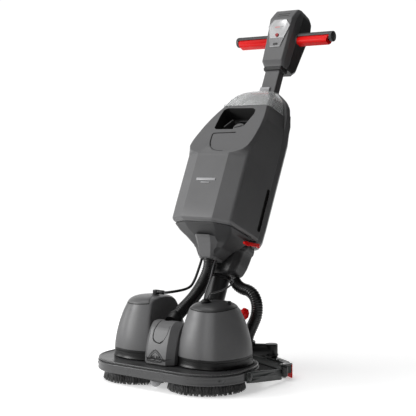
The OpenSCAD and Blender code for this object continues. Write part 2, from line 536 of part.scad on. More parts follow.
// grip: upper shell, end disc and the groove that the trigger slides in
module grip(s) translate([0, grip_v, grip_w]) mirror([s < 0 ? 1 : 0, 0, 0]) rotate([90, 0, 90]) {
  translate([0, 0, 57]) linear_extrude(bar_len / 2 - 67) difference() {
    circle(d = grip_d);
    translate([-14.2, -9.05]) square([28.4, 18.1]);
    translate([-30, -31]) square([60, 30]);
    circle(d = 18.04);
  }
  translate([0, 0, bar_len / 2 - 10]) linear_extrude(7.1) difference() {
    circle(d = grip_d);
    circle(d = 18.04);
  }
  translate([0, 0, bar_len / 2 - 3]) cylinder(h = 3, d = grip_d);
  translate([0, 0, 54]) linear_extrude(3) difference() {
    circle(d = grip_d);
    circle(d = 18.04);
  }
}
module grips() color([0.34, 0.34, 0.35]) col() { grip(-1); grip(1); }
module trigger(s) translate([0, grip_v, grip_w]) mirror([s < 0 ? 1 : 0, 0, 0]) intersection() {
  rotate([90, 0, 90]) translate([0, 0, 57.3]) linear_extrude(bar_len / 2 - 67.6)
    polygon([[-13.8, 1], [-13.8, -6.4], [-16.6, -6.8], [-16.6, -15], [-11, -24], [11, -24], [16.6, -15],
      [16.6, -6.8], [13.8, -6.4], [13.8, 1], [10.6, 1], [10.6, -15.5], [-10.6, -15.5], [-10.6, 1]]);
  translate([0, 30, 0]) rotate([90, 0, 0]) linear_extrude(60)
    polygon([[50, 20], [190, 20], [190, -4], [bar_len / 2 - 11, -6], [bar_len / 2 - 19, -30], [50, -30]]);
}
module left_trigger() color([0.80, 0.02, 0.03]) col() trigger(-1);
module right_trigger() color([0.80, 0.02, 0.03]) col() trigger(1);

// ---- lid and latch
module lid_shape(o) loft([
  six(o > 0 ? 680 : 690.5, 78 - o, -101 + o, 86 - o, -91 + o, 97 - o, -23.5 - o),
  six(724 - o / 2, 72 - o, -86 + o, 84 - o, -74 + o, 91 - o, -23.5 - o),
  six(740 - o / 2, 64 - o, -77 + o, 78 - o, -64 + o, 84 - o, -23.5 - o),
  six(753 - o / 2, 53 - o, -68 + o, 69 - o, -56 + o, 75 - o, -23.5 - o),
  six(765 - o, 42 - o, -56 + o, 58 - o, -46 + o, 64 - o, -23.5 - o),
  six(773 - o, 32 - o, -45 + o, 48 - o, -37 + o, 53 - o, -23.5 - o),
  six(779 - o, 26 - o, -36 + o * 0.6, 40 - o, -31 + o / 3, 44 - o, -23.5 - o)]);
module tank_lid() color([0.86, 0.88, 0.88, 0.6]) col() {
  difference() {
    lid_shape(0);
    lid_shape(3);
  }
  // hinge barrel along the top edge
  translate([-24, -26.5, 780]) rotate([0, 90, 0]) cylinder(h = 48, d = 5);
}
module tank_latch() color([0.80, 0.02, 0.03]) col() difference() {
  union() {
    translate([114.5, 0, 0]) rotate([90, 0, 90]) linear_extrude(6)
      polygon([[-8, 262], [-8, 271], [-14, 274], [-40, 267], [-68, 259], [-88, 256], [-91, 250], [-87, 246],
        [-62, 249], [-36, 257]]);
    translate([114.5, -14, 267]) rotate([0, 90, 0]) cylinder(h = 6, d = 13);
  }
  translate([100, -14, 267]) rotate([0, 90, 0]) cylinder(h = 40, d = 5);
}

// ---- hoses and cables
module vacuum_hose() color([0.04, 0.04, 0.045]) sweep(vac_route, 19, 12, [1, 0, 0]);
module squeegee_hose() color([0.04, 0.04, 0.045]) sweep(sq_route, 18, 12, [0, 1, 0]);
module left_power_cable() color([0.05, 0.05, 0.05]) sweep(left_cable_route, 4, 8, [0, 0, 1]);
module right_power_cable() color([0.62, 0.62, 0.63]) sweep(right_cable_route, 2.5, 8, [1, 0, 0]);
module water_tube() color([0.70, 0.71, 0.72]) sweep(water_route, 2.5, 8, [1, 0, 0]);

deck_pan();
skirt_band();
plinth();
left_dome();
right_dome();
centre_cover();
brush_motors();
batteries();
vacuum_motor();
tilt_bracket();
tilt_axle();
hose_cuff();
rear_carrier();
deck_fasteners();
dome_fittings();
centre_glide();
left_brush_plate();
left_bristles();
right_brush_plate();
right_bristles();
vacuum_fan();
left_wheel();
right_wheel();
squeegee_beam();
side_arms();
rear_blade();
front_blade();
blade_clamp();
suction_elbow();
left_roller();
right_roller();
lock_knob();
neck_tube();
column_tube();
lower_housing();
underside_block();
recovery_tank();
filler_cap();
solution_tank();
standpipe();
float_ring();
water_pump();
head_front_cover();
head_rear_cover();
head_collar();
control_plate();
control_board();
handle_bar();
grips();
left_trigger();
right_trigger();
power_button();
water_button();
tank_lid();
tank_latch();
vacuum_hose();
squeegee_hose();
left_power_cable();
right_power_cable();
water_tube();
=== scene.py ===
# Visual model of the walk-behind wet and dry floor scrubber, built round the
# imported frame. Metres, +Z up, the same frame as the CAD.
import bpy
import bmesh
import math
import random
from math import radians, sin, cos, pi, sqrt, atan2
from mathutils import Vector, Matrix


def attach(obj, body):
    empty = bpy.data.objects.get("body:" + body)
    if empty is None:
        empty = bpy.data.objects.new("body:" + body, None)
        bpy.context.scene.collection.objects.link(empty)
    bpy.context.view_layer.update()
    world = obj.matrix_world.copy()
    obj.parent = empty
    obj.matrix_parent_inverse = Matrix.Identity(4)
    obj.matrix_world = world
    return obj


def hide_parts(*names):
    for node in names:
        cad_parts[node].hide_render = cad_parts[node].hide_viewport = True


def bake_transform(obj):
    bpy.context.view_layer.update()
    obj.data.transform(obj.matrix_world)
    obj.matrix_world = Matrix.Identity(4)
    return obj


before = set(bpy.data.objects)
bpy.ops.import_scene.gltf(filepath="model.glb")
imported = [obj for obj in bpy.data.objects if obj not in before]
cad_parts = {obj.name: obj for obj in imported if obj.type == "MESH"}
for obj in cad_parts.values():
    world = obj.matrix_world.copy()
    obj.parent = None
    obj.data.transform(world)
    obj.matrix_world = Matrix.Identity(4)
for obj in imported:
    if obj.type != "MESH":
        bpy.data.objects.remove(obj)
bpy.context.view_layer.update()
random.seed(7)

LEAN = radians(25)
COL = Matrix.Translation((0, 0.163, 0.130)) @ Matrix.Rotation(-LEAN, 4, "X")
MM = 0.001

# --------------------------------------------------------------------- camera
cam_data = bpy.data.cameras.new("Camera")
cam = bpy.data.objects.new("Camera", cam_data)
bpy.context.scene.collection.objects.link(cam)
cam.location = (1.7987, -2.2958, 0.67025)
cam.rotation_euler = (radians(86.66), 0, radians(36.12))
cam_data.sensor_width = 36
cam_data.lens = 88.93
cam_data.clip_end = 60
bpy.context.scene.camera = cam


# ------------------------------------------------------------------ materials
def _noise(nt, coord, scale, detail=3.0, rough=0.55, loc=(-900, 0)):
    n = nt.nodes.new("ShaderNodeTexNoise")
    n.location = loc
    n.inputs["Scale"].default_value = scale
    n.inputs["Detail"].default_value = detail
    n.inputs["Roughness"].default_value = rough
    nt.links.new(coord, n.inputs["Vector"])
    return n


def _ramp(nt, fac, a, b, lo=0.35, hi=0.65, loc=(-650, 0)):
    r = nt.nodes.new("ShaderNodeValToRGB")
    r.location = loc
    r.color_ramp.elements[0].position = lo
    r.color_ramp.elements[1].position = hi
    r.color_ramp.elements[0].color = a
    r.color_ramp.elements[1].color = b
    nt.links.new(fac, r.inputs["Fac"])
    return r


def rgba(c, k=1.0):
    return (min(1, c[0] * k), min(1, c[1] * k), min(1, c[2] * k), 1)


def make_mat(name, base, rough=0.45, rough_var=0.08, col_var=0.10, grain=700.0,
             bump=0.06, bump_dist=0.0004, metallic=0.0, coat=0.0, coat_rough=0.1,
             sheen=0.0, dirt=0.0, scratch=0.0, spec=0.5, wear=0.0, brushed=None,
             blotch=9.0, transmission=0.0, ior=1.45, edge=0.0):
    m = bpy.data.materials.new(name)
    m.use_nodes = True
    nt = m.node_tree
    b = nt.nodes["Principled BSDF"]
    tc = nt.nodes.new("ShaderNodeTexCoord")
    tc.location = (-1300, 0)
    co = tc.outputs["Object"]
    # broad, gentle colour drift over the surface
    n1 = _noise(nt, co, blotch, 4.0, 0.6, (-950, 300))
    r1 = _ramp(nt, n1.outputs["Fac"], rgba(base, 1 - col_var), rgba(base, 1 + col_var), 0.3, 0.7, (-700, 300))
    colour = r1.outputs["Color"]
    # fine speckle of the moulded or painted skin
    n2 = _noise(nt, co, grain, 2.0, 0.5, (-950, 0))
    mix = nt.nodes.new("ShaderNodeMix")
    mix.data_type = "RGBA"
    mix.blend_type = "MULTIPLY"
    mix.location = (-420, 260)
    r2 = _ramp(nt, n2.outputs["Fac"], (0.90, 0.90, 0.90, 1), (1.06, 1.06, 1.06, 1), 0.35, 0.65, (-700, 60))
    mix.inputs["Factor"].default_value = 0.55
    nt.links.new(colour, mix.inputs["A"])
    nt.links.new(r2.outputs["Color"], mix.inputs["B"])
    colour = mix.outputs["Result"]
    if wear > 0:
        geo = nt.nodes.new("ShaderNodeNewGeometry")
        geo.location = (-950, 560)
        rw = _ramp(nt, geo.outputs["Pointiness"], (0, 0, 0, 1), (1, 1, 1, 1), 0.53, 0.60, (-700, 560))
        nw = _noise(nt, co, 60.0, 4.0, 0.7, (-950, 760))
        mw = nt.nodes.new("ShaderNodeMath")
        mw.operation = "MULTIPLY"
        mw.location = (-420, 560)
        nt.links.new(rw.outputs["Color"], mw.inputs[0])
        nt.links.new(nw.outputs["Fac"], mw.inputs[1])
        mx = nt.nodes.new("ShaderNodeMix")
        mx.data_type = "RGBA"
        mx.location = (-200, 420)
        ms = nt.nodes.new("ShaderNodeMath")
        ms.operation = "MULTIPLY"
        ms.inputs[1].default_value = wear
        ms.location = (-300, 560)
        nt.links.new(mw.outputs[0], ms.inputs[0])
        nt.links.new(ms.outputs[0], mx.inputs["Factor"])
        nt.links.new(colour, mx.inputs["A"])
        mx.inputs["B"].default_value = rgba((base[0] + 0.12, base[1] + 0.12, base[2] + 0.12))
        colour = mx.outputs["Result"]
    nt.links.new(colour, b.inputs["Base Color"])
    # roughness drift
    n3 = _noise(nt, co, 25.0, 5.0, 0.65, (-950, -300))
    mr = nt.nodes.new("ShaderNodeMapRange")
    mr.location = (-650, -300)
    mr.inputs["From Min"].default_value = 0.3
    mr.inputs["From Max"].default_value = 0.7
    mr.inputs["To Min"].default_value = max(0.02, rough - rough_var)
    mr.inputs["To Max"].default_value = min(1.0, rough + rough_var)
    nt.links.new(n3.outputs["Fac"], mr.inputs["Value"])
    nt.links.new(mr.outputs["Result"], b.inputs["Roughness"])
    # bump: grain, and fine lines for brushed metal
    bp = nt.nodes.new("ShaderNodeBump")
    bp.location = (-250, -420)
    bp.inputs["Strength"].default_value = bump
    bp.inputs["Distance"].default_value = bump_dist
    if brushed:
        mp = nt.nodes.new("ShaderNodeMapping")
        mp.location = (-1120, -620)
        mp.inputs["Scale"].default_value = brushed
        nt.links.new(co, mp.inputs["Vector"])
        nb = _noise(nt, mp.outputs["Vector"], 100.0, 3.0, 0.6, (-950, -620))
        nt.links.new(nb.outputs["Fac"], bp.inputs["Height"])
    else:
        nt.links.new(n2.outputs["Fac"], bp.inputs["Height"])
    nt.links.new(bp.outputs["Normal"], b.inputs["Normal"])
    b.inputs["Metallic"].default_value = metallic
    b.inputs["Coat Weight"].default_value = coat
    b.inputs["Coat Roughness"].default_value = coat_rough
    b.inputs["Sheen Weight"].default_value = sheen
    b.inputs["Specular IOR Level"].default_value = spec
    b.inputs["Transmission Weight"].default_value = transmission
    b.inputs["IOR"].default_value = ior
    return m


M = {}
M["cover"] = make_mat("cover_grey", (0.122, 0.122, 0.124), rough=0.38, rough_var=0.05, col_var=0.04, grain=900,
                      bump=0.10, bump_dist=0.00015, wear=0.10, spec=0.35)
# dark grey copy of the cover grey. It is painted shade on the lower housing under the tank rim, on the rear head shell
# and on a rib in the window well, and painted shade and painted reflection on the right dome lid; it also colours the
# water button
M["cover_dark_and_painted_shade"] = make_mat("cover_dark_and_painted_shade", (0.036, 0.036, 0.037), rough=0.42, rough_var=0.05, col_var=0.05, grain=900,
                           bump=0.10, bump_dist=0.00015, wear=0.08)
M["housing"] = make_mat("housing_dark", (0.018, 0.018, 0.019), rough=0.45, col_var=0.08, grain=800, bump=0.12,
                        bump_dist=0.0002)
M["gloss"] = make_mat("gloss_black", (0.006, 0.006, 0.0062), rough=0.34, rough_var=0.05, col_var=0.08, grain=500,
                      bump=0.03, bump_dist=0.0001, spec=0.35)
M["black"] = make_mat("plain_black", (0.006, 0.006, 0.006), rough=0.75, col_var=0.10, grain=400, bump=0.05)
M["skirt"] = make_mat("skirt_plastic", (0.052, 0.052, 0.053), rough=0.30, rough_var=0.05, col_var=0.05, grain=600,
                      bump=0.05, bump_dist=0.00015, wear=0.12)
M["bristle"] = make_mat("nylon_bristle", (0.085, 0.085, 0.085), rough=0.42, rough_var=0.12, col_var=0.55, grain=350,
                        bump=0.15, bump_dist=0.0003, blotch=160)
M["hose"] = make_mat("hose_black", (0.006, 0.006, 0.0062), rough=0.30, rough_var=0.08, col_var=0.15, grain=600,
                     bump=0.08, bump_dist=0.0002)
M["cable"] = make_mat("cable_black", (0.012, 0.012, 0.012), rough=0.42, col_var=0.15, grain=600, bump=0.06)
M["cable_grey"] = make_mat("cable_grey", (0.085, 0.085, 0.088), rough=0.42, col_var=0.08, grain=600, bump=0.06)
M["steel"] = make_mat("zinc_steel", (0.60, 0.60, 0.60), rough=0.34, rough_var=0.08, col_var=0.06, grain=300,
                      bump=0.10, bump_dist=0.0001, metallic=0.85, brushed=(6, 6, 1))
M["pale"] = make_mat("pale_zinc", (0.62, 0.62, 0.61), rough=0.42, rough_var=0.08, col_var=0.08, grain=300,
                     bump=0.08, bump_dist=0.0001, metallic=0.35)
M["paint"] = make_mat("painted_dark", (0.020, 0.0205, 0.021), rough=0.38, rough_var=0.06, col_var=0.06, grain=1200,
                      bump=0.05, bump_dist=0.00012, wear=0.15)
M["shaft"] = make_mat("shaft_grey", (0.085, 0.085, 0.087), rough=0.36, rough_var=0.05, col_var=0.05, grain=1200,
                      bump=0.05, bump_dist=0.00012, wear=0.10)
M["arm"] = make_mat("arm_metal", (0.028, 0.031, 0.03), rough=0.36, rough_var=0.06, col_var=0.08, grain=700,
                    bump=0.06, bump_dist=0.00015, metallic=0.35, wear=0.15)
M["silver"] = make_mat("silver_plate", (0.42, 0.42, 0.425), rough=0.30, rough_var=0.05, col_var=0.03, grain=500,
                       bump=0.04, bump_dist=0.0001, metallic=0.25, brushed=(2, 40, 40))
M["silver_dark"] = make_mat("silver_strip", (0.20, 0.20, 0.205), rough=0.34, rough_var=0.05, col_var=0.04, grain=500,
                            bump=0.04, bump_dist=0.0001, metallic=0.25)
M["red"] = make_mat("red_plastic", (0.7, 0, 0), rough=0.42, rough_var=0.06, col_var=0.06, grain=700,
                    bump=0.06, bump_dist=0.00015, spec=0.22)
M["red_deep"] = make_mat("red_button", (0.30, 0.010, 0.012), rough=0.35, col_var=0.06, grain=700, bump=0.06)
M["blade"] = make_mat("urethane_red", (0.66, 0, 0), rough=0.45, col_var=0.08, grain=500, bump=0.06, spec=0.22)
M["rubber"] = make_mat("rubber_black", (0.014, 0.014, 0.014), rough=0.62, col_var=0.12, grain=500, bump=0.12)
M["roller"] = make_mat("roller_grey", (0.035, 0.037, 0.036), rough=0.45, col_var=0.08, grain=500, bump=0.10)
M["grip"] = make_mat("grip_grey", (0.045, 0.045, 0.046), rough=0.46, col_var=0.06, grain=1500, bump=0.20,
                     bump_dist=0.0002)
M["motor"] = make_mat("cast_metal", (0.35, 0.35, 0.36), rough=0.45, col_var=0.08, grain=300, bump=0.15, metallic=0.8)
M["battery"] = make_mat("battery_case", (0.02, 0.02, 0.025), rough=0.4, col_var=0.08, grain=500, bump=0.1)
M["board"] = make_mat("board_green", (0.01, 0.09, 0.03), rough=0.35, col_var=0.15, grain=300, bump=0.1)
M["float"] = make_mat("float_white", (0.75, 0.74, 0.70), rough=0.6, col_var=0.05, grain=600, bump=0.2)
M["white"] = make_mat("white_plastic", (0.80, 0.80, 0.80), rough=0.4, col_var=0.03, grain=600, bump=0.05)
M["label"] = make_mat("label_grey", (0.34, 0.34, 0.35), rough=0.35, col_var=0.04, grain=800, bump=0.03)


def lid_material():
    m = make_mat("lid_frosted", (0.88, 0.89, 0.89), rough=0.24, rough_var=0.05, col_var=0.02, grain=600,
                 bump=0.05, bump_dist=0.0002, transmission=0.80, ior=1.38, spec=0.5)
    return m


M["lid"] = lid_material()


# ------------------------------------------------------------- mesh utilities
def link(obj):
    bpy.context.scene.collection.objects.link(obj)
    return obj


def new_mesh(name, verts, faces, mat, xf=None, smooth=True):
    me = bpy.data.meshes.new(name)
    me.from_pydata([tuple(v) for v in verts], [], [tuple(f) for f in faces])
    me.update()
    bm = bmesh.new()
    bm.from_mesh(me)
    bmesh.ops.remove_doubles(bm, verts=bm.verts, dist=1e-6)
    bmesh.ops.recalc_face_normals(bm, faces=bm.faces)
    if xf is not None:
        bm.transform(xf)
    bm.to_mesh(me)
    bm.free()
    if smooth:
        me.shade_smooth()
    obj = link(bpy.data.objects.new(name, me))
    if mat is not None:
        obj.data.materials.append(M[mat] if isinstance(mat, str) else mat)
    return obj


def mods(obj, bevel=0.0, seg=2, angle=32, subsurf=0, weighted=True, solid=0.0):
    """bevel, subdivision and solidify, applied, with smooth shading by angle"""
    if solid:
        md = obj.modifiers.new("solid", "SOLIDIFY")
        md.thickness = solid
        md.offset = -1
    if bevel:
        md = obj.modifiers.new("bevel", "BEVEL")
        md.width = bevel
        md.segments = seg
        md.limit_method = "ANGLE"
        md.angle_limit = radians(angle)
        md.harden_normals = False
    if subsurf:
        md = obj.modifiers.new("sub", "SUBSURF")
        md.levels = subsurf
        md.render_levels = subsurf
    apply_mods(obj)
    return obj


def apply_mods(obj):
    if not obj.modifiers:
        return obj
    bpy.context.view_layer.update()
    dg = bpy.context.evaluated_depsgraph_get()
    me = bpy.data.meshes.new_from_object(obj.evaluated_get(dg))
    old = obj.data
    obj.modifiers.clear()
    obj.data = me
    if old.users == 0:
        bpy.data.meshes.remove(old)
    return obj


def sharp(obj, angle=38):
    """smooth shading that keeps edges sharper than the angle"""
    me = obj.data
    me.shade_smooth()
    try:
        me.set_sharp_from_angle(angle=radians(angle))
    except AttributeError:
        pass
    return obj


def ring_faces(m, n, closed=True, cap0=True, cap1=True, loop=False):
    """quads between m rings of n points each"""
    f = []
    for i in range(m - 1 if not loop else m):
        a, b = i * n, ((i + 1) % m) * n
        for k in range(n if closed else n - 1):
            k2 = (k + 1) % n
            f.append((a + k, a + k2, b + k2, b + k))
    if cap0:
        f.append(tuple(range(n - 1, -1, -1)))
    if cap1:
        f.append(tuple((m - 1) * n + k for k in range(n)))
    return f


def loft(name, rings, mat, cap0=True, cap1=True, loop=False, xf=None):
    n = len(rings[0])
    verts = [p for r in rings for p in r]
    return new_mesh(name, verts, ring_faces(len(rings), n, True, cap0, cap1, loop), mat, xf)


def round_poly(pts, r, seg=6):
    """closed outline with each corner rounded by its radius; always the same number of points"""
    out = []
    n = len(pts)
    for i in range(n):
        rad = r[i] if isinstance(r, (list, tuple)) else r
        p = Vector(pts[i])
        a = Vector(pts[i - 1]) - p
        b = Vector(pts[(i + 1) % n]) - p
        la, lb = a.length, b.length
        a.normalize()
        b.normalize()
        d = max(-0.999999, min(0.999999, a.dot(b)))
        half = math.acos(d) / 2
        t = min(rad / max(1e-6, math.tan(half)), la * 0.49, lb * 0.49)
        s, e = p + a * t, p + b * t
        for k in range(seg + 1):
            u = k / seg
            # quadratic blend through the corner
            q = s * (1 - u) ** 2 + p * (2 * u * (1 - u)) + e * u ** 2
            out.append((q.x, q.y))
    return out


def resample(pts, n, closed=True):
    """n points evenly spaced along an outline"""
    P = [Vector(p) for p in pts]
    if closed:
        P = P + [P[0]]
    L = [0.0]
    for i in range(1, len(P)):
        L.append(L[-1] + (P[i] - P[i - 1]).length)
    out = []
    tot = L[-1]
    j = 0
    for k in range(n):
        s = tot * k / (n if closed else (n - 1))
        while j < len(L) - 2 and L[j + 1] < s:
            j += 1
        u = 0 if L[j + 1] == L[j] else (s - L[j]) / (L[j + 1] - L[j])
        out.append(tuple(P[j].lerp(P[j + 1], min(1, max(0, u)))))
    return out


def lathe(name, prof, mat, n=48, xf=None, cap=True, phase=0.0, wob=None):
    """prof: (radius, height) pairs from one end to the other, turned about Z"""
    rings = []
    for (r, z) in prof:
        rr = max(r, 1e-5)
        ring = []
        for k in range(n):
            a = 2 * pi * k / n + phase
            q = rr * (wob(a, z) if wob else 1)
            ring.append((q * cos(a), q * sin(a), z))
        rings.append(ring)
    return loft(name, rings, mat, cap, cap, False, xf)


def box(name, lo, hi, mat, bevel=0.0008, seg=2, xf=None):
    x0, y0, z0 = lo
    x1, y1, z1 = hi
    v = [(x0, y0, z0), (x1, y0, z0), (x1, y1, z0), (x0, y1, z0), (x0, y0, z1), (x1, y0, z1), (x1, y1, z1), (x0, y1, z1)]
    f = [(0, 3, 2, 1), (4, 5, 6, 7), (0, 1, 5, 4), (1, 2, 6, 5), (2, 3, 7, 6), (3, 0, 4, 7)]
    o = new_mesh(name, v, f, mat, xf, smooth=False)
    if bevel:
        mods(o, bevel, seg, 20)
    return sharp(o, 40)


def prism(name, outline, z0, z1, mat, bevel=0.0006, seg=2, xf=None, steps=1, holes=None):
    """flat outline pulled up from z0 to z1"""
    n = len(outline)
    rings = [[(p[0], p[1], z0 + (z1 - z0) * i / steps) for p in outline] for i in range(steps + 1)]
    o = loft(name, rings, mat, xf=xf)
    if bevel:
        mods(o, bevel, seg, 40)
    return sharp(o, 40)


def join(name, objs):
    objs = [o for o in objs if o is not None]
    if len(objs) == 1:
        objs[0].name = name
        return objs[0]
    bpy.context.view_layer.update()
    mats = []
    bm = bmesh.new()
    for o in objs:
        remap = []
        for s in o.data.materials:
            if s not in mats:
                mats.append(s)
            remap.append(mats.index(s))
        me = o.data.copy()
        me.transform(o.matrix_world)
        start = len(bm.faces)
        bm.from_mesh(me)
        bm.faces.ensure_lookup_table()
        for f in bm.faces[start:]:
            f.material_index = remap[f.material_index] if remap else 0
        bpy.data.meshes.remove(me)
    me = bpy.data.meshes.new(name)
    bm.to_mesh(me)
    bm.free()
    for s in mats:
        me.materials.append(s)
    out = link(bpy.data.objects.new(name, me))
    for o in objs:
        d = o.data
        bpy.data.objects.remove(o)
        if d.users == 0:
            bpy.data.meshes.remove(d)
    return out


def boolean(obj, cutter, op="DIFFERENCE", keep=False):
    md = obj.modifiers.new("bool", "BOOLEAN")
    md.operation = op
    md.object = cutter
    md.solver = "EXACT"
    apply_mods(obj)
    if not keep:
        d = cutter.data
        bpy.data.objects.remove(cutter)
        if d.users == 0:
            bpy.data.meshes.remove(d)
    return obj


def catmull(pts, n):
    """n points on a smooth curve through the given ones, evenly spaced"""
    P = [Vector(p) for p in pts]
    Q = [P[0] * 2 - P[1]] + P + [P[-1] * 2 - P[-2]]
    dense = []
    for i in range(1, len(Q) - 2):
        for k in range(24):
            t = k / 24
            a, b, c, d = Q[i - 1], Q[i], Q[i + 1], Q[i + 2]
            dense.append(0.5 * ((2 * b) + (c - a) * t + (2 * a - 5 * b + 4 * c - d) * t * t
                                + (3 * b - a - 3 * c + d) * t ** 3))
    dense.append(P[-1])
    L = [0.0]
    for i in range(1, len(dense)):
        L.append(L[-1] + (dense[i] - dense[i - 1]).length)
    out = []
    j = 0
    for k in range(n):
        s = L[-1] * k / (n - 1)
        while j < len(L) - 2 and L[j + 1] < s:
            j += 1
        u = 0 if L[j + 1] == L[j] else (s - L[j]) / (L[j + 1] - L[j])
        out.append(dense[j].lerp(dense[j + 1], min(1, max(0, u))))
    return out, L[-1]


def frames(path, start=Vector((0, 0, 1))):
    """parallel-transport frames along a path"""
    T = []
    for i in range(len(path)):
        a = path[max(0, i - 1)]
        b = path[min(len(path) - 1, i + 1)]
        T.append((b - a).normalized())
    s = (start - start.dot(T[0]) * T[0])
    if s.length < 1e-4:
        s = Vector((1, 0, 0)) - Vector((1, 0, 0)).dot(T[0]) * T[0]
    s.normalize()
    out = []
    for t in T:
        s = (s - s.dot(t) * t).normalized()
        out.append((t, s.copy(), t.cross(s)))
    return out


def tube(name, path, radius, mat, n=16, start=Vector((0, 0, 1)), cap=True):
    """tube along a path; radius is a number or a function of the share of the length"""
    fr = frames(path, start)
    rings = []
    m = len(path)
    for i, p in enumerate(path):
        r = radius(i / (m - 1)) if callable(radius) else radius
        t, a, b = fr[i]
        rings.append([tuple(p + (a * cos(2 * pi * k / n) + b * sin(2 * pi * k / n)) * r) for k in range(n)])
    return loft(name, rings, mat, cap, cap)


def smoothstep(a, b, x):
    t = max(0.0, min(1.0, (x - a) / (b - a)))
    return t * t * (3 - 2 * t)


def done(obj, body, slot, *nodes):
    """rides on its body and stands for these CAD nodes, which it hides; slot is not used"""
    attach(obj, body)
    if nodes:
        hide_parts(*nodes)
    return obj


# ------------------------------------------------------------ hoses and cables
def mm(route):
    return [Vector(p) * MM for p in route]


VAC = mm([[0, 6, 181], [0, 18, 189], [0, 40, 202], [0, 65, 215],
          [-0.5, 92, 229], [-2.5, 116, 243], [-5, 138, 257.5], [-6, 156, 274], [-5, 169, 292],
          [-2, 176, 312], [0, 178, 331], [0, 177, 348], [0, 179, 363]])
SQH = mm([[50, 237, 272], [62, 235, 259], [82, 233, 250], [105, 231, 246], [124, 231, 232], [134, 231, 206],
          [132, 231, 174], [119, 232, 145], [105, 234, 119], [97, 236, 97], [96, 236, 76]])
LCB = mm([[-69.6, 46, 247.5], [-62, 46.4, 247.8], [-54, 51, 249], [-42, 66, 251],
          [-35, 92, 253], [-32.5, 114, 256.5], [-31, 130, 264], [-30.5, 146, 281], [-29, 158, 303],
          [-27, 169, 327], [-27, 174, 338]])
RCB = mm([[103, 11, 247.2], [102.8, 11.6, 251], [101, 17, 259], [93, 36, 272], [80, 66, 287], [62, 100, 301], [44, 132, 316],
          [32, 156, 328], [27, 171, 337]])
WTB = mm([[109, 17, 247.2], [108.4, 18.4, 250], [105, 28, 254.5], [94, 52, 258], [85, 80, 256], [82, 110, 256], [86, 138, 261],
          [88, 160, 269], [82, 182, 277], [70, 197, 282], [63, 204, 286.6]])


def corrugated(name, route, r, pitch, depth, per=4, n=28, start=Vector((1, 0, 0)), plain=0.0):
    """helically ribbed suction hose; the ends stay plain for a little"""
    _, length = catmull(route, 8)
    turns = max(4, int(round(length / pitch)))
    m = turns * per + 1
    path, length = catmull(route, m)
    fr = frames(path, start)
    rings = []
    for i, p in enumerate(path):
        t, a, b = fr[i]
        s = length * i / (m - 1)
        fade = smoothstep(0, plain + 1e-6, s) * smoothstep(0, plain + 1e-6, length - s) if plain else 1.0
        ring = []
        for k in range(n):
            ang = 2 * pi * k / n
            u = (s / pitch + k / n) * 2 * pi
            w = 0.5 + 0.5 * cos(u)
            rr = r - depth * (1 - w ** 0.7) * fade
            ring.append(tuple(p + (a * cos(ang) + b * sin(ang)) * rr))
        rings.append(ring)
    o = loft(name, rings, "hose")
    return o, path, length


def cord_piece(o, path, length, node):
    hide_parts(node)
    tuple(path[0])
    [tuple(p) for p in path]
    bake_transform(o)
    return o


vac, pth, ln = corrugated("suction_hose_front", VAC, 0.019, 0.0066, 0.0019)
cord_piece(vac, pth, ln, "vacuum_hose")
sqh, pth, ln = corrugated("suction_hose_rear", SQH, 0.018, 0.0066, 0.0019, start=Vector((0, 1, 0)))
cord_piece(sqh, pth, ln, "squeegee_hose")


def plain_cord(name, route, r, mat, n=12):
    path, length = catmull(route, 44)
    return tube(name, path, r, mat, n), path, length


lcb, pth, ln = plain_cord("battery_lead_left", LCB, 0.004, "cable")
cord_piece(lcb, pth, ln, "left_power_cable")
rcb, pth, ln = plain_cord("battery_lead_right", RCB, 0.0025, "cable_grey")
cord_piece(rcb, pth, ln, "right_power_cable")
wtb, pth, ln = plain_cord("water_line", WTB, 0.0025, "cable_grey")
cord_piece(wtb, pth, ln, "water_tube")


# ------------------------------------------------------------------ deck
BX, SKR, DY = 0.1187, 0.126, 0.038
DCX, DCY = 0.111, 0.042


def plan_ring(r, z, q=14):
    pts = []

    def arc(cx, cy, a0, a1):
        for k in range(q + 1):
            a = radians(a0 + (a1 - a0) * k / q)
            pts.append((cx + r * cos(a), cy + r * sin(a), z))

    arc(BX, 0, -90, 0)
    arc(BX, DY, 0, 90)
    arc(-BX, DY, 90, 180)
    arc(-BX, 0, 180, 270)
    # extra points along the straight runs keep the shading even
    out = []
    n = len(pts)
    for i in range(n):
        a, b = Vector(pts[i]), Vector(pts[(i + 1) % n])
        out.append(tuple(a))
        if i % (q + 1) == q:
            for k in range(1, 8):
                out.append(tuple(a.lerp(b, k / 8)))
    return out


def rim(name, prof, mat, loop=True):
    rings = [plan_ring(r, z) for r, z in prof]
    return loft(name, rings, mat, cap0=not loop, cap1=not loop, loop=loop)


# skirt band: a shallow convex strip with turned lips above and below
band = rim("skirt", [(0.1222, 0.0322), (0.1250, 0.0320), (0.1259, 0.0330), (0.1262, 0.0350), (0.1256, 0.0372),
                     (0.1257, 0.0420), (0.1260, 0.0455), (0.1259, 0.0490), (0.1255, 0.0522), (0.1262, 0.0538),
                     (0.1262, 0.0558), (0.1254, 0.0569), (0.1240, 0.0572), (0.1226, 0.0568), (0.1222, 0.0545),
                     (0.1221, 0.0400)], "skirt")
sharp(band, 50)
done(band, "deck", "cover_grey", "skirt_band")
# deck moulding: groove, upper lip and the ledge that the domes stand on
pan = rim("deck_moulding", [(0.1180, 0.0350), (0.1216, 0.0350), (0.1216, 0.0560), (0.1222, 0.0574), (0.1214, 0.0578),
                            (0.1212, 0.0592), (0.1216, 0.0598), (0.1234, 0.0602), (0.1243, 0.0612), (0.1245, 0.0626),
                            (0.1240, 0.0637), (0.1228, 0.0643), (0.1205, 0.0644), (0.1188, 0.0638), (0.1176, 0.0626),
                            (0.1160, 0.0620), (0.0700, 0.0618), (0.0700, 0.0570), (0.1160, 0.0570), (0.1178, 0.0560)],
          "skirt")
sharp(pan, 50)
fill = prism("deck_floor", [p[:2] for p in plan_ring(0.0705, 0)], 0.0571, 0.0617, "housing", bevel=0)
pan = join("deck_moulding", [pan, fill])
done(pan, "deck", "housing_dark", "deck_pan")


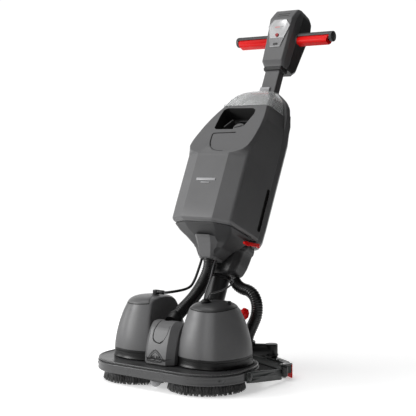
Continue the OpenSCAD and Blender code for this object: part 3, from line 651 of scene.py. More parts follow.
# battery domes -------------------------------------------------------------
PROF = [(0.0822, 0.1140), (0.0850, 0.1143), (0.0900, 0.1143), (0.0980, 0.1140), (0.1080, 0.1128), (0.1180, 0.1113),
        (0.1280, 0.1094), (0.1380, 0.1070), (0.1480, 0.1045), (0.1580, 0.1017), (0.1680, 0.0986), (0.1780, 0.0949),
        (0.1880, 0.0908), (0.1960, 0.0873), (0.2040, 0.0835), (0.2110, 0.0797), (0.2170, 0.0757), (0.2220, 0.0712),
        (0.2260, 0.0664), (0.2290, 0.0614), (0.2315, 0.0560), (0.2335, 0.0500), (0.2350, 0.0430), (0.2362, 0.0340),
        (0.2370, 0.0240), (0.2375, 0.0120), (0.2377, 0.0002)]


def smax(a, b, k):
    """smooth maximum"""
    h = max(0.0, min(1.0, 0.5 + 0.5 * (a - b) / k))
    return b * (1 - h) + a * h + k * h * (1 - h)


# plan of the right dome about its axis: a slack square with a valley and ridge on its outer front corner
def plan_r(th):
    """radius factor of the dome's plan by direction, th measured from the front (-Y), positive outboard"""
    k = 0.33
    d = (th - 38 + 45) % 90 - 45
    d = 45 - math.sqrt(d * d + 16.0)
    f = 1 - k * (1 - cos(radians(45)) / cos(radians(max(-45, min(45, -d)))))
    # shallow valley beside the outer front corner
    f -= 0.016 * math.exp(-((th - 20) / 8) ** 2)
    return f


def dome_point(th, z, R, s):
    """th in degrees from the front, outboard positive; s is +1 right, -1 left"""
    up = smoothstep(0.24, 0.20, z) if z < 0.24 else 0
    f = 1 + (plan_r(th) - 1) * (1 - smoothstep(0.205, 0.234, z))
    a = radians(th)
    x = R * f * sin(a)
    y = -R * f * cos(a)
    lim = -(0.0640 - 0.145 * (z - 0.082))
    if R > abs(lim) * 0.7:
        x = smax(x, lim, 0.006)
    return (s * (DCX + x), DCY + y, z)


def dome(s, name):
    n = 144
    rings = []
    for z, R in PROF:
        rings.append([dome_point(-180 + 360 * k / n, z, R, s) for k in range(n)])
    # inner wall so that the shell has an edge
    rings.insert(0, [dome_point(-180 + 360 * k / n, 0.0822, 0.1110, s) for k in range(n)])
    rings.insert(0, [dome_point(-180 + 360 * k / n, 0.1000, 0.1108, s) for k in range(n)])
    o = loft(name, rings, "cover")
    sharp(o, 60)
    return o


def dome_z(R):
    for (z0, r0), (z1, r1) in zip(PROF[3:], PROF[4:]):
        if r1 <= R <= r0:
            return z0 + (z1 - z0) * (r0 - R) / max(1e-9, r0 - r1)
    return PROF[-1][0]


def dome_lid(s, name, mat):
    """thin access lid lying on the top of the dome, with a crisp edge and a shadow gap"""
    n = 96
    gap, top = [], []

    def ring(shrink, lift):
        pts = []
        for k in range(n):
            th = -180 + 360 * k / n
            base = 0.0685 + 0.006 * math.exp(-((th - 20) / 60) ** 2) - 0.010 * smoothstep(120, 180, abs(th))
            R = max(0.0, base * (1 - shrink))
            z = dome_z(R) + lift
            p = dome_point(th, z, R, s)
            lim = -(0.0640 - 0.145 * (z - 0.082)) + 0.006
            x = s * p[0] - DCX
            x = smax(x, lim * (1 - shrink), 0.004)
            pts.append((s * (DCX + x), p[1], z))
        return pts

    rings = [ring(0.0, -0.001), ring(0.0, 0.0007), ring(0.012, 0.0013), ring(0.05, 0.0014)]
    for q in (0.12, 0.22, 0.34, 0.48, 0.64, 0.80, 0.92, 0.999):
        rings.append(ring(q, 0.0014))
    o = loft(name, rings, mat, cap0=False)
    sharp(o, 35)
    g = loft(name + "_gap", [ring(-0.022, 0.0002), ring(-0.022, 0.0006), ring(0.0, 0.0006), ring(0.02, 0.0002)],
             "black", cap0=False, cap1=False)
    return join(name, [o, g])


def paint_faces(obj, test, mat):
    """gives the faces whose centre passes the test another finish"""
    me = obj.data
    names = [m.name for m in me.materials]
    if M[mat].name not in names:
        me.materials.append(M[mat])
        names.append(M[mat].name)
    k = names.index(M[mat].name)
    for f in me.polygons:
        if test(f.center):
            f.material_index = k


for s, side in ((-1, "left"), (1, "right")):
    d = dome(s, side + "_battery_cover")
    paint_faces(d, lambda c: c.z < 0.0925, "gloss")
    done(d, "deck", "cover_grey", side + "_dome")
    # the right lid takes the dark grey: painted shade from the tank above and painted reflection of the dark column
    # behind it
    l = dome_lid(s, side + "_battery_lid", "cover" if s < 0 else "cover_dark_and_painted_shade")
    done(l, "deck", "cover_grey")

# glossy black foot of the domes, flared out on to the deck
foots = []
for s in (-1, 1):
    n = 120
    rings = []
    for z, R in ((0.0640, 0.1100), (0.0640, 0.1172), (0.0652, 0.1176), (0.0668, 0.1166), (0.0700, 0.1154),
                 (0.0740, 0.1148), (0.0790, 0.1146), (0.0815, 0.1145), (0.0820, 0.1138), (0.0820, 0.1100)):
        rings.append([dome_point(-180 + 360 * k / n, z, R, s) for k in range(n)])
    foots.append(loft("foot", rings, "gloss", cap0=False, cap1=True))
mid = [[(x, y, z) for x, y in [(-0.051, 0.100), (-0.051, -0.0630), (-0.0335, -0.0790), (0.0335, -0.0790),
                               (0.051, -0.0630), (0.051, 0.100)]] for z in (0.064, 0.082)]
foots.append(loft("foot_mid", mid, "gloss"))
foot = join("dome_foot", foots)
sharp(foot, 40)
done(foot, "deck", "gloss_black", "plinth")


# --------------------------------------------------------------- centre cover
COVER = [(0.106, 0.064), (0.1055, 0.080), (0.104, 0.100), (0.099, 0.122), (0.092, 0.138), (0.074, 0.151),
         (0.050, 0.162), (0.028, 0.170), (0.004, 0.1765), (-0.012, 0.1805), (-0.024, 0.1822), (-0.034, 0.1812),
         (-0.042, 0.1780), (-0.0485, 0.1730), (-0.054, 0.1660), (-0.0585, 0.1570), (-0.062, 0.1460),
         (-0.0665, 0.1330), (-0.0705, 0.1200), (-0.0740, 0.1060), (-0.0770, 0.0920), (-0.0790, 0.0790),
         (-0.0800, 0.0655)]


def cover_pt(x, i):
    """point of the cover's skin at x on profile station i (may be fractional)"""
    i = max(0.0, min(len(COVER) - 1.0, i))
    j = min(len(COVER) - 2, int(i))
    u = i - j
    y = COVER[j][0] * (1 - u) + COVER[j + 1][0] * u
    z = COVER[j][1] * (1 - u) + COVER[j + 1][1] * u
    b = 0.016 * smoothstep(0.031, 0.038, abs(x)) * min(1, max(0, (abs(x) - 0.0345) / 0.0185 + 0.0)) \
        + 0.0006 * (x / 0.05) ** 2
    b = 0.016 * max(0.0, (abs(x) - 0.0340) / 0.0185) + 0.0008 * (x / 0.05) ** 2
    if y < 0.0:
        fy = smoothstep(0.0, -0.054, y)
        return Vector((x, y + b * fy, z - b * 0.38 * smoothstep(0.120, 0.176, z)))
    return Vector((x, y, z - b * 0.38 * smoothstep(0.120, 0.160, z)))


def fine_stations(step=3):
    return [i / step for i in range((len(COVER) - 1) * step + 1)]


def x_stations():
    xs = [-0.053, -0.050, -0.046, -0.042, -0.038, -0.0362, -0.0350, -0.0340, -0.0328, -0.030]
    mid = [-0.026 + 0.004 * k for k in range(14)]
    return xs + mid + [-x for x in reversed(xs)]


def centre_cover():
    st = fine_stations()
    xs = x_stations()
    rings = []
    for x in xs:
        ring = [tuple(cover_pt(x, i)) for i in st]
        ring += [(x, -0.060, 0.0655), (x, 0.06, 0.0655)]
        rings.append(ring)
    o = loft("centre_cover", rings, "cover")
    # round socket for the hose cuff
    c = lathe("cut", [(0.0222, -0.030), (0.0222, 0.030)], "cover", 48,
              Matrix.Translation(VAC[0]) @ Matrix.Rotation(radians(-55), 4, "X"))
    boolean(o, c)
    return o


def groove(target, pts, r, closed=False, ref=Vector((0, -1, 0.3))):
    """cuts a narrow groove along points that lie on the skin"""
    if closed:
        path = [Vector(p) for p in resample([tuple(q) for q in pts], max(24, len(pts) * 5))]
        m = len(path)
        rings = []
        for i, p in enumerate(path):
            t = (path[(i + 1) % m] - path[i - 1]).normalized()
            a = (ref - ref.dot(t) * t).normalized()
            b = t.cross(a)
            rings.append([tuple(p + (a * cos(2 * pi * k / 8) + b * sin(2 * pi * k / 8)) * r) for k in range(8)])
        t = loft("groove_cut", rings, "black", False, False, True)
    else:
        path, _ = catmull(pts, max(24, len(pts) * 5))
        t = tube("groove_cut", path, r, "black", 8)
    before = len(target.data.polygons)
    spare = target.data.copy()
    boolean(target, t)
    if len(target.data.polygons) < before * 0.5:
        target.data = spare
        print("GROOVE FAILED on", target.name)


def profile_index(z):
    """profile station on the front face at height z"""
    best = len(COVER) - 1
    for i in range(10, len(COVER) - 1):
        z0, z1 = COVER[i][1], COVER[i + 1][1]
        if z1 <= z <= z0:
            return i + (z0 - z) / (z0 - z1)
    return best


cc = centre_cover()
def cover_uv(pts):
    """cover skin points (x, profile station) for the fitted outline points, given as x and height"""
    return [cover_pt(x, profile_index(z)) for x, z in pts]


TONGUE_XZ = [(-0.0147, 0.1805), (-0.0176, 0.169), (-0.0215, 0.1567), (-0.022, 0.1395), (-0.0173, 0.13), (-0.0089, 0.1254), (0.0074, 0.1237), (0.0164, 0.1308)]
HAIR_XZ = [(0.0164, 0.1308), (0.0261, 0.148), (0.0287, 0.1669), (0.027, 0.1789)]
groove(cc, cover_uv(TONGUE_XZ), 0.0018)
groove(cc, cover_uv(HAIR_XZ), 0.0008)


TRI = [(-0.0330, 0.0725), (-0.0224, 0.0897), (-0.0151, 0.1007), (-0.0066, 0.1045), (0.0027, 0.1028), (0.0153, 0.0913),
       (0.0285, 0.0757), (0.0154, 0.0716), (-0.0025, 0.0710), (-0.0243, 0.0713)]


def tri_path(k):
    return [cover_pt(-0.003 + (x + 0.003) * k, profile_index(0.084 + (z - 0.084) * k)) for x, z in TRI]


groove(cc, tri_path(1.0), 0.0009, closed=True)
groove(cc, tri_path(0.80), 0.0006, closed=True)
sharp(cc, 40)
done(cc, "deck", "cover_grey", "centre_cover")


def groove_shade(pts, r, sink, closed=False):
    """black tube lying in a groove, a little below the skin: painted shade that darkens the groove"""
    pts = [Vector(p) + Vector((0, 1, -0.3)).normalized() * sink for p in pts]
    if closed:
        pts = pts + [pts[0]]
    path, _ = catmull(pts, 8)
    return tube("groove_shade", path, r, "black", 10)


# black tubes sunk in the cover's grooves: painted shade
groove_shade_tubes = join("cover_groove_shade", [groove_shade(cover_uv(TONGUE_XZ), 0.0015, 0.0006), groove_shade(cover_uv(HAIR_XZ), 0.0006, 0.0003),
                             groove_shade(tri_path(1.0), 0.0010, 0.0002, True), groove_shade(tri_path(0.72), 0.0009, 0.0002, True)])
done(groove_shade_tubes, "deck", "gloss_black")

# generic triangular vent: slanted louvres let into the face
vents = []
for sgn in (-1, 1):
    for q in range(3):
        x0 = -0.003 + sgn * (0.0020 + 0.0052 * q)
        zz = 0.0775 + 0.0012 * q
        pts = [cover_pt(x0, profile_index(zz)), cover_pt(x0 + sgn * 0.0022, profile_index(zz + 0.0055)),
               cover_pt(x0 + sgn * 0.0036, profile_index(zz + 0.011 - 0.0022 * q))]
        path, _ = catmull(pts, 10)
        vents.append(tube("louvre", path, 0.0014, "gloss", 8))
vt = join("front_vent", vents)
done(vt, "deck", "gloss_black")

# cuff round the foot of the front hose
ax = Matrix.Translation(VAC[0]) @ Matrix.Rotation(radians(-55), 4, "X")
cuff = lathe("front_hose_cuff", [(0.0192, -0.012), (0.0216, -0.0125), (0.0220, -0.010), (0.0220, -0.002),
                                 (0.0226, 0.000), (0.0229, 0.003), (0.0229, 0.0075), (0.0223, 0.009),
                                 (0.0214, 0.0094), (0.0210, 0.0140), (0.0204, 0.0148), (0.0196, 0.0145),
                                 (0.0194, 0.0080), (0.0193, -0.008)], "gloss", 56, ax)
sharp(cuff, 35)
done(cuff, "deck", "gloss_black", "hose_cuff")


# ------------------------------------------------------------------- brushes
def tufts(s, name):
    """rings of filament tufts, each a splayed bundle of bent strands"""
    rnd = random.Random(11 + s)
    bm = bmesh.new()
    rows = [(0.0585, 30, 4), (0.0690, 36, 4), (0.0795, 42, 5), (0.0895, 50, 6), (0.0985, 64, 8), (0.1052, 84, 11)]
    for ri, (r, cnt, strands) in enumerate(rows):
        for k in range(cnt):
            a = 2 * pi * (k + (0.5 if ri % 2 else 0)) / cnt + rnd.uniform(-0.006, 0.006)
            root = Vector((r * cos(a), r * sin(a), 0.0285))
            out = Vector((cos(a), sin(a), 0))
            tan = Vector((-sin(a), cos(a), 0))
            lean_r = 0.30 * (r - 0.075) / 0.03 * 0.010 + rnd.uniform(-0.0008, 0.0008)
            lean_t = rnd.uniform(-0.0016, 0.0016) + (0.0012 if k % 2 else -0.0008)
            for q in range(strands):
                b = 2 * pi * q / strands + rnd.uniform(-0.4, 0.4)
                rad = 0.0017 * (0.55 + 0.45 * ((q * 7) % 5) / 5)
                off = out * (cos(b) * rad) + tan * (sin(b) * rad)
                spread = out * (cos(b) * rad * 1.15) + tan * (sin(b) * rad * 1.15)
                z_end = rnd.uniform(0.0002, 0.0016)
                w0 = 0.00062
                prev = None
                for lv, u in enumerate((0.0, 0.4, 0.75, 1.0)):
                    c = root + off * 0.7 + (spread + out * lean_r + tan * lean_t) * (u ** 1.5)
                    c.z = 0.0285 + (z_end - 0.0285) * u
                    rr = min(0.1149 - w0, math.hypot(c.x, c.y))
                    h = math.hypot(c.x, c.y)
                    c.x *= rr / h
                    c.y *= rr / h
                    w = w0 * (1.0 - 0.25 * u)
                    ring = [bm.verts.new(c + out * (w * cos(t)) + tan * (w * sin(t))) for t in
                            (0, 2 * pi / 3, 4 * pi / 3)]
                    if prev:
                        for e in range(3):
                            bm.faces.new((prev[e], prev[(e + 1) % 3], ring[(e + 1) % 3], ring[e]))
                    else:
                        bm.faces.new(ring[::-1])
                    prev = ring
                bm.faces.new(prev)
    bmesh.ops.translate(bm, verts=bm.verts, vec=(s * BX, 0, 0))
    bmesh.ops.recalc_face_normals(bm, faces=bm.faces)
    me = bpy.data.meshes.new(name)
    bm.to_mesh(me)
    bm.free()
    me.materials.append(M["bristle"])
    me.shade_smooth()
    o = link(bpy.data.objects.new(name, me))
    # dark core so that the rows read as dense
    core = lathe("core", [(0.0550, 0.0285), (0.0520, 0.0040), (0.1000, 0.0040), (0.0975, 0.0285)], "bristle", 96,
                 Matrix.Translation((s * BX, 0, 0)), cap=False)
    return join(name, [o, core])


for s, side in ((-1, "left"), (1, "right")):
    t = tufts(s, side + "_brush_filaments")
    done(t, "brush_" + side, "bristle", side + "_bristles")
    pl = lathe(side + "_brush_block", [(0.0083, 0.0281), (0.100, 0.0281), (0.1066, 0.0284), (0.1078, 0.0296),
                                       (0.1080, 0.0330), (0.1074, 0.0360), (0.1050, 0.0369), (0.0300, 0.0370),
                                       (0.0272, 0.0380), (0.0270, 0.0490), (0.0262, 0.0500), (0.0083, 0.0500)],
               "housing", 96, Matrix.Translation((s * BX, 0, 0)), cap=False)
    sharp(pl, 35)
    ribs = []
    for i in range(6):
        rb = box("rib", (0.025, -0.002, 0.0365), (0.094, 0.002, 0.0415), "housing", 0.0008, 2,
                 Matrix.Translation((s * BX, 0, 0)) @ Matrix.Rotation(radians(60 * i), 4, "Z"))
        ribs.append(rb)
    pl = join(side + "_brush_block", [pl] + ribs)
    done(pl, "brush_" + side, "housing_dark", side + "_brush_plate")
# ---------------------------------------------------------- squeegee assembly
ARC = Vector((0.0, -0.122, 0.0))


def arc_strip(name, r0, r1, z0, z1, a0, a1, mat, n=72, bevel=0.0012, drop=0.0):
    """bowed strip round the squeegee's arc, angles from straight back; drop lets the outer lower edge flare"""
    rings = []
    for i in range(n + 1):
        a = radians(90 + a0 + (a1 - a0) * i / n)
        c, s = cos(a), sin(a)
        pts = round_poly([(r0, z0), (r1 + drop, z0), (r1, z1), (r0, z1)], bevel, 3)
        rings.append([(ARC.x + r * c, ARC.y + r * s, z) for r, z in pts])
    return sharp(loft(name, rings, mat), 40)


bm_top = arc_strip("beam_top", 0.415, 0.437, 0.0435, 0.0478, -33.6, 33.6, "arm", bevel=0.0010)
bm_main = arc_strip("beam_main", 0.4102, 0.4399, 0.0162, 0.0436, -34.6, 34.6, "arm", bevel=0.0026)
bm_rib = arc_strip("beam_rib", 0.4215, 0.4285, 0.0474, 0.0486, -30, 30, "arm", bevel=0.0005)
bits = [bm_main, bm_top, bm_rib]
for s in (-1, 1):
    bits.append(box("bracket", (min(s * 0.2335, s * 0.2578), 0.1925, 0.0432), (max(s * 0.2335, s * 0.2578), 0.2328, 0.0478),
                    "arm", 0.0018, 3))
    bits.append(lathe("post", [(0.0030, 0.0090), (0.0030, 0.0470), (0.0055, 0.0474), (0.0055, 0.0500), (0.0046, 0.0512),
                               (0.0001, 0.0514)], "steel", 24, Matrix.Translation((s * 0.249, 0.201, 0))))
    bits.append(lathe("foot", [(0.0001, 0.0080), (0.0056, 0.0080), (0.0060, 0.0085), (0.0060, 0.0115), (0.0056, 0.0120),
                               (0.0001, 0.0120)], "steel", 24, Matrix.Translation((s * 0.249, 0.201, 0))))
for a in range(-28, 29, 8):
    th = radians(90 + a)
    bits.append(lathe("stud", [(0.0046, 0.0), (0.0046, 0.0030), (0.0038, 0.0036), (0.0001, 0.0036)], "steel", 6,
                      Matrix.Translation((ARC.x + 0.4185 * cos(th), ARC.y + 0.4185 * sin(th), 0.0476))))
beam = join("squeegee_beam", bits)
done(beam, "squeegee", "arm_metal", "squeegee_beam")

rear = arc_strip("rear_blade", 0.4402, 0.4439, 0.0004, 0.0418, -34.2, 34.2, "blade", bevel=0.0007, drop=0.0002)
done(rear, "squeegee", "urethane_red", "rear_blade")
fb = arc_strip("front_blade", 0.4061, 0.4098, 0.0004, 0.0218, -33.8, 33.8, "rubber", bevel=0.0006)
done(fb, "squeegee", "rubber_black", "front_blade")
cl = [arc_strip("blade_clamp", 0.4441, 0.4459, 0.0272, 0.0398, -33.4, 33.4, "steel", bevel=0.0005)]
for a in range(-32, 33, 8):
    th = radians(90 + a)
    m = Matrix.Translation((ARC.x + 0.4458 * cos(th), ARC.y + 0.4458 * sin(th), 0.0335)) @ Matrix.Rotation(th, 4, "Z") \
        @ Matrix.Rotation(radians(90), 4, "Y")
    cl.append(lathe("nut", [(0.0042, 0.0), (0.0042, 0.0026), (0.0036, 0.0032), (0.0001, 0.0032)], "steel", 6, m))
cl = join("blade_clamp", cl)
done(cl, "squeegee", "steel", "blade_clamp")

# side arms: flat plates that taper to the pivots, with a rib pressed along them
arms = []
for s in (-1, 1):
    out = round_poly([(0.008, 0.028), (0.060, 0.021), (0.186, 0.0062), (0.186, 0.0368), (0.060, 0.054), (0.008, 0.058)],
                     [0.006, 0.012, 0.003, 0.003, 0.012, 0.006], 6)
    rings = [[(s * x, y + 0, z) for y, z in [((p[0] - 0.097) * k + 0.097, (p[1] - 0.034) * k + 0.034) for p in out]]
             for x, k in ((0.2460, 0.985), (0.2464, 1.0), (0.2500, 1.0), (0.2508, 0.985))]
    arms.append(sharp(loft("arm", rings, "arm"), 40))
    rib = round_poly([(0.034, 0.036), (0.150, 0.0235), (0.150, 0.0275), (0.034, 0.041)], 0.0018, 4)
    rr = [[(s * x, (p[0] - 0.092) * k + 0.092, (p[1] - 0.032) * k + 0.032) for p in rib]
          for x, k in ((0.2500, 1.0), (0.2512, 1.0), (0.2518, 0.97))]
    arms.append(sharp(loft("rib", rr, "arm"), 40))
    arms.append(box("block", (min(s * 0.2425, s * 0.2508), 0.1790, 0.0245), (max(s * 0.2425, s * 0.2508), 0.1915, 0.0368),
                    "arm", 0.0012, 3))
    arms.append(lathe("pad", [(0.0052, 0.0), (0.0105, 0.0), (0.0110, 0.0004), (0.0110, 0.0012), (0.0104, 0.0017),
                              (0.0052, 0.0017)], "arm", 40,
                      Matrix.Translation((s * 0.2506, 0.020, 0.042)) @ Matrix.Rotation(radians(90 * s), 4, "Y"), cap=False))
KEEP_ARMS = arms
for o in arms:
    o.name = "side_arm_bit"
hole = []
for s in (-1, 1):
    c = lathe("hole", [(0.0062, -0.02), (0.0062, 0.02)], "arm", 32,
              Matrix.Translation((s * 0.2484, 0.020, 0.042)) @ Matrix.Rotation(radians(90), 4, "Y"))
    boolean(arms[0 if s < 0 else 4], c)
arms = join("side_arms", arms)
done(arms, "squeegee", "arm_metal", "side_arms")

# suction elbow: cup with a rolled rim, side pipe and rear stub
EL = Vector((0.096, 0.236, 0))
cup = lathe("cup", [(0.0001, 0.0500), (0.0195, 0.0500), (0.0222, 0.0512), (0.0230, 0.0540), (0.0230, 0.0860), (0.0234, 0.0874),
                    (0.0246, 0.0880), (0.0250, 0.0888), (0.0250, 0.0930), (0.0246, 0.0939), (0.0230, 0.0940),
                    (0.0204, 0.0940), (0.0202, 0.0932), (0.0202, 0.0590), (0.0001, 0.0590)], "gloss", 56,
            Matrix.Translation(EL))
ribs = [box("cup_rib", (-0.0008, 0.0225, 0.0560), (0.0008, 0.0246, 0.0860), "gloss", 0.0003, 2,
            Matrix.Translation(EL) @ Matrix.Rotation(radians(a), 4, "Z")) for a in range(0, 360, 45)]
th = radians(28.7)
side = lathe("side", [(0.0001, 0.0000), (0.0182, 0.0), (0.0190, 0.0008), (0.0190, 0.0640), (0.0187, 0.0660), (0.0190, 0.0690),
                      (0.0186, 0.0722), (0.0176, 0.0730), (0.0001, 0.0730)], "gloss", 48,
             Matrix.Translation(EL + Vector((0, 0, 0.068))) @ Matrix.Rotation(th, 4, "Z") @ Matrix.Rotation(radians(90), 4, "Y"))
stub = lathe("stub", [(0.0001, 0.0484), (0.0186, 0.0484), (0.0190, 0.0490), (0.0190, 0.0840), (0.0186, 0.0862),
                      (0.0176, 0.0870), (0.0001, 0.0870)], "gloss", 48, Matrix.Translation((0.160, 0.271, 0)))
ring1 = lathe("ring", [(0.0190, 0.052), (0.0205, 0.0524), (0.0207, 0.0535), (0.0207, 0.0560), (0.0205, 0.0572), (0.0190, 0.0576)],
              "gloss", 48, Matrix.Translation((0.160, 0.271, 0)), cap=False)
elbow = join("suction_elbow", [sharp(o, 40) for o in (cup, side, stub, ring1)] + ribs)
done(elbow, "squeegee", "gloss_black", "suction_elbow")

for s, nm in ((-1, "left_roller"), (1, "right_roller")):
    r = lathe(nm, [(0.0034, 0.0131), (0.0086, 0.0131), (0.0098, 0.0136), (0.0103, 0.0148), (0.0106, 0.0200), (0.0109, 0.0275),
                   (0.0106, 0.0350), (0.0103, 0.0402), (0.0098, 0.0414), (0.0086, 0.0419), (0.0034, 0.0419)], "roller", 56,
              Matrix.Translation((s * 0.249, 0.201, 0)), cap=False)
    done(sharp(r, 35), nm.replace("left_roller", "roller_left").replace("right_roller", "roller_right"), "roller_grey", nm)

# lock knob: lobed rim, dished face
def lobes(a, z):
    return 1 + (0.11 * max(0.0, cos(8 * a)) ** 1.5 if 0.0008 < z < 0.0122 else 0)


kb = lathe("lock_knob", [(0.0082, 0.0), (0.0130, 0.0), (0.0148, 0.0009), (0.0155, 0.0026), (0.0157, 0.0065), (0.0155, 0.0104),
                         (0.0148, 0.0121), (0.0130, 0.0130), (0.0105, 0.0128), (0.0092, 0.0118), (0.0082, 0.0118)], "red", 96,
           Matrix.Translation((0.1128, 0.188, 0.184)) @ Matrix.Rotation(radians(90), 4, "Y"), cap=False, wob=lobes)
kcut = lathe("kcut", [(0.0081, -0.001), (0.0081, 0.0111)], "red", 40,
             Matrix.Translation((0.1128, 0.188, 0.184)) @ Matrix.Rotation(radians(90), 4, "Y"))
kb2 = lathe("knob_cap", [(0.0001, 0.0112), (0.0084, 0.0112), (0.0092, 0.0119), (0.0086, 0.0124), (0.0001, 0.0126)], "red", 40,
            Matrix.Translation((0.1128, 0.188, 0.184)) @ Matrix.Rotation(radians(90), 4, "Y"))
bpy.data.objects.remove(kcut, do_unlink=True)
kb = join("lock_knob", [sharp(kb, 32), sharp(kb2, 40)])
done(kb, "knob", "red_plastic", "lock_knob")

# tilt axle with its pale shoulder
PX = Matrix.Translation((0, 0.188, 0.184)) @ Matrix.Rotation(radians(90), 4, "Y")
ax = [lathe("axle", [(0.0001, -0.0540), (0.0122, -0.0540), (0.0130, -0.0532), (0.0130, -0.0470), (0.0122, -0.0462),
                     (0.0080, -0.0462), (0.0080, 0.1208), (0.0068, 0.1220), (0.0001, 0.1220)], "steel", 48, PX),
      lathe("shoulder", [(0.0080, 0.0463), (0.0106, 0.0463), (0.0115, 0.0472), (0.0115, 0.0560), (0.0104, 0.0572),
                         (0.0104, 0.1010), (0.0115, 0.1022), (0.0115, 0.1112), (0.0106, 0.1122), (0.0080, 0.1122)], "steel",
            48, PX, cap=False)]
ax = join("tilt_axle", [sharp(o, 38) for o in ax])
done(ax, "deck", "steel", "tilt_axle")

# bracket: two cheeks with pressed edges and a foot plate
br = []
for s in (-1, 1):
    out = [(0.1525, 0.0625), (0.160, 0.0625), (0.2078, 0.168)]
    for a in range(-12, 131, 12):
        out.append((0.188 + 0.0238 * cos(radians(a)), 0.184 + 0.0238 * sin(radians(a))))
    out += [(0.1542, 0.150)]
    rings = [[(s * x, (p[0] - 0.180) * k + 0.180, (p[1] - 0.15) * k + 0.15) for p in out]
             for x, k in ((0.0352, 0.992), (0.0358, 1.0), (0.0452, 1.0), (0.0458, 0.992))]
    br.append(sharp(loft("cheek", rings, "pale"), 40))
    br.append(lathe("washer", [(0.0082, 0), (0.0165, 0), (0.0170, 0.0004), (0.0170, 0.0002), (0.0082, 0.0006)], "pale", 40,
                    Matrix.Translation((s * 0.0458, 0.188, 0.184)) @ Matrix.Rotation(radians(90 * s), 4, "Y"), cap=False))
br.append(box("foot", (-0.0458, 0.1527, 0.0622), (0.0458, 0.1603, 0.0668), "pale", 0.0008, 2))
br = join("tilt_bracket", br)
done(br, "deck", "painted_dark", "tilt_bracket")

# transport wheels: tyre with tread lines, dark grey hub, and their carrier
for s, nm in ((-1, "left_wheel"), (1, "right_wheel")):
    m = Matrix.Translation((s * 0.064 - 0.011, 0.204, 0.025)) @ Matrix.Rotation(radians(90), 4, "Y")
    ty = lathe("tyre", [(0.0180, 0.0012), (0.0225, 0.0004), (0.0238, 0.0016), (0.0248, 0.0034), (0.0250, 0.0060), (0.0244, 0.0064),
                        (0.0244, 0.0072), (0.0250, 0.0076), (0.0250, 0.0104), (0.0244, 0.0108), (0.0244, 0.0112),
                        (0.0250, 0.0116), (0.0250, 0.0144), (0.0244, 0.0148), (0.0244, 0.0156), (0.0250, 0.0160),
                        (0.0248, 0.0186), (0.0238, 0.0204), (0.0225, 0.0216), (0.0180, 0.0208)], "rubber", 64, m, cap=False)
    hb = lathe("hub", [(0.0041, -0.0015), (0.0072, -0.0015), (0.0080, -0.0008), (0.0080, 0.0020), (0.0180, 0.0030),
                       (0.0186, 0.0016), (0.0186, 0.0204), (0.0180, 0.0190), (0.0080, 0.0200), (0.0080, 0.0228),
                       (0.0072, 0.0235), (0.0041, 0.0235)], "roller", 48, m, cap=False)
    wl = join(nm, [sharp(ty, 35), sharp(hb, 35)])
    done(wl, "wheel_left" if s < 0 else "wheel_right", "tyre_black", nm)
rc = []
for s in (-1, 1):
    rc.append(box("plate", (s * 0.064 - 0.0168, 0.1562, 0.0622), (s * 0.064 + 0.0168, 0.2118, 0.0668), "paint", 0.0010, 2))
    for t in (-1, 1):
        x0 = s * 0.064 + t * 0.015 - 0.002
        out = round_poly([(0.167, 0.0625), (0.212, 0.0625), (0.214, 0.050), (0.212, 0.016), (0.196, 0.016), (0.170, 0.046)],
                         [0.002, 0.002, 0.004, 0.007, 0.007, 0.004], 5)
        rc.append(sharp(loft("cheek", [[(x, p[0], p[1]) for p in out] for x in (x0, x0 + 0.004)], "paint"), 40))
    rc.append(lathe("pin", [(0.0001, 0.0), (0.0034, 0.0), (0.0040, 0.0006), (0.0040, 0.0354), (0.0034, 0.0360), (0.0001, 0.0360)],
                    "steel", 24, Matrix.Translation((s * 0.064 - 0.018, 0.204, 0.025)) @ Matrix.Rotation(radians(90), 4, "Y")))
rc = join("rear_carrier", rc)
done(rc, "deck", "painted_dark", "rear_carrier")

# fittings on the domes
df = [lathe("grommet", [(0.0001, 0.2400), (0.0146, 0.2400), (0.0150, 0.2406), (0.0149, 0.2420), (0.0140, 0.2431), (0.0112, 0.2433),
                        (0.0105, 0.2438), (0.0105, 0.2456), (0.0099, 0.2468), (0.0001, 0.2469)], "gloss", 48,
            Matrix.Translation((0.106, 0.014, 0))),
      lathe("vent", [(0.0001, 0.2312), (0.0065, 0.2312), (0.0065, 0.2370), (0.0057, 0.2374), (0.0057, 0.2384), (0.0065, 0.2388),
                     (0.0065, 0.2412), (0.0056, 0.2424), (0.0001, 0.2425)], "gloss", 36, Matrix.Translation((0.162, 0.046, 0))),
      lathe("gland", [(0.0001, 0.2400), (0.0114, 0.2400), (0.0120, 0.2407), (0.0118, 0.2424), (0.0106, 0.2432), (0.0001, 0.2434)],
            "gloss", 6, Matrix.Translation((-0.100, 0.046, 0))),
      box("plug_box", (-0.1078, 0.0392, 0.2417), (-0.0922, 0.0528, 0.2533), "gloss", 0.0022, 3),
      lathe("plug", [(0.0001, 0.0), (0.0060, 0.0), (0.0060, 0.0080), (0.0054, 0.0084), (0.0054, 0.0096), (0.0060, 0.0100),
                     (0.0060, 0.0140), (0.0054, 0.0144), (0.0054, 0.0156), (0.0060, 0.0160), (0.0059, 0.0215), (0.0050, 0.0230),
                     (0.0001, 0.0230)], "gloss", 36,
            Matrix.Translation((-0.093, 0.046, 0.2475)) @ Matrix.Rotation(radians(90), 4, "Y"))]
df = join("dome_fittings", [sharp(o, 38) for o in df])
done(df, "deck", "gloss_black", "dome_fittings")
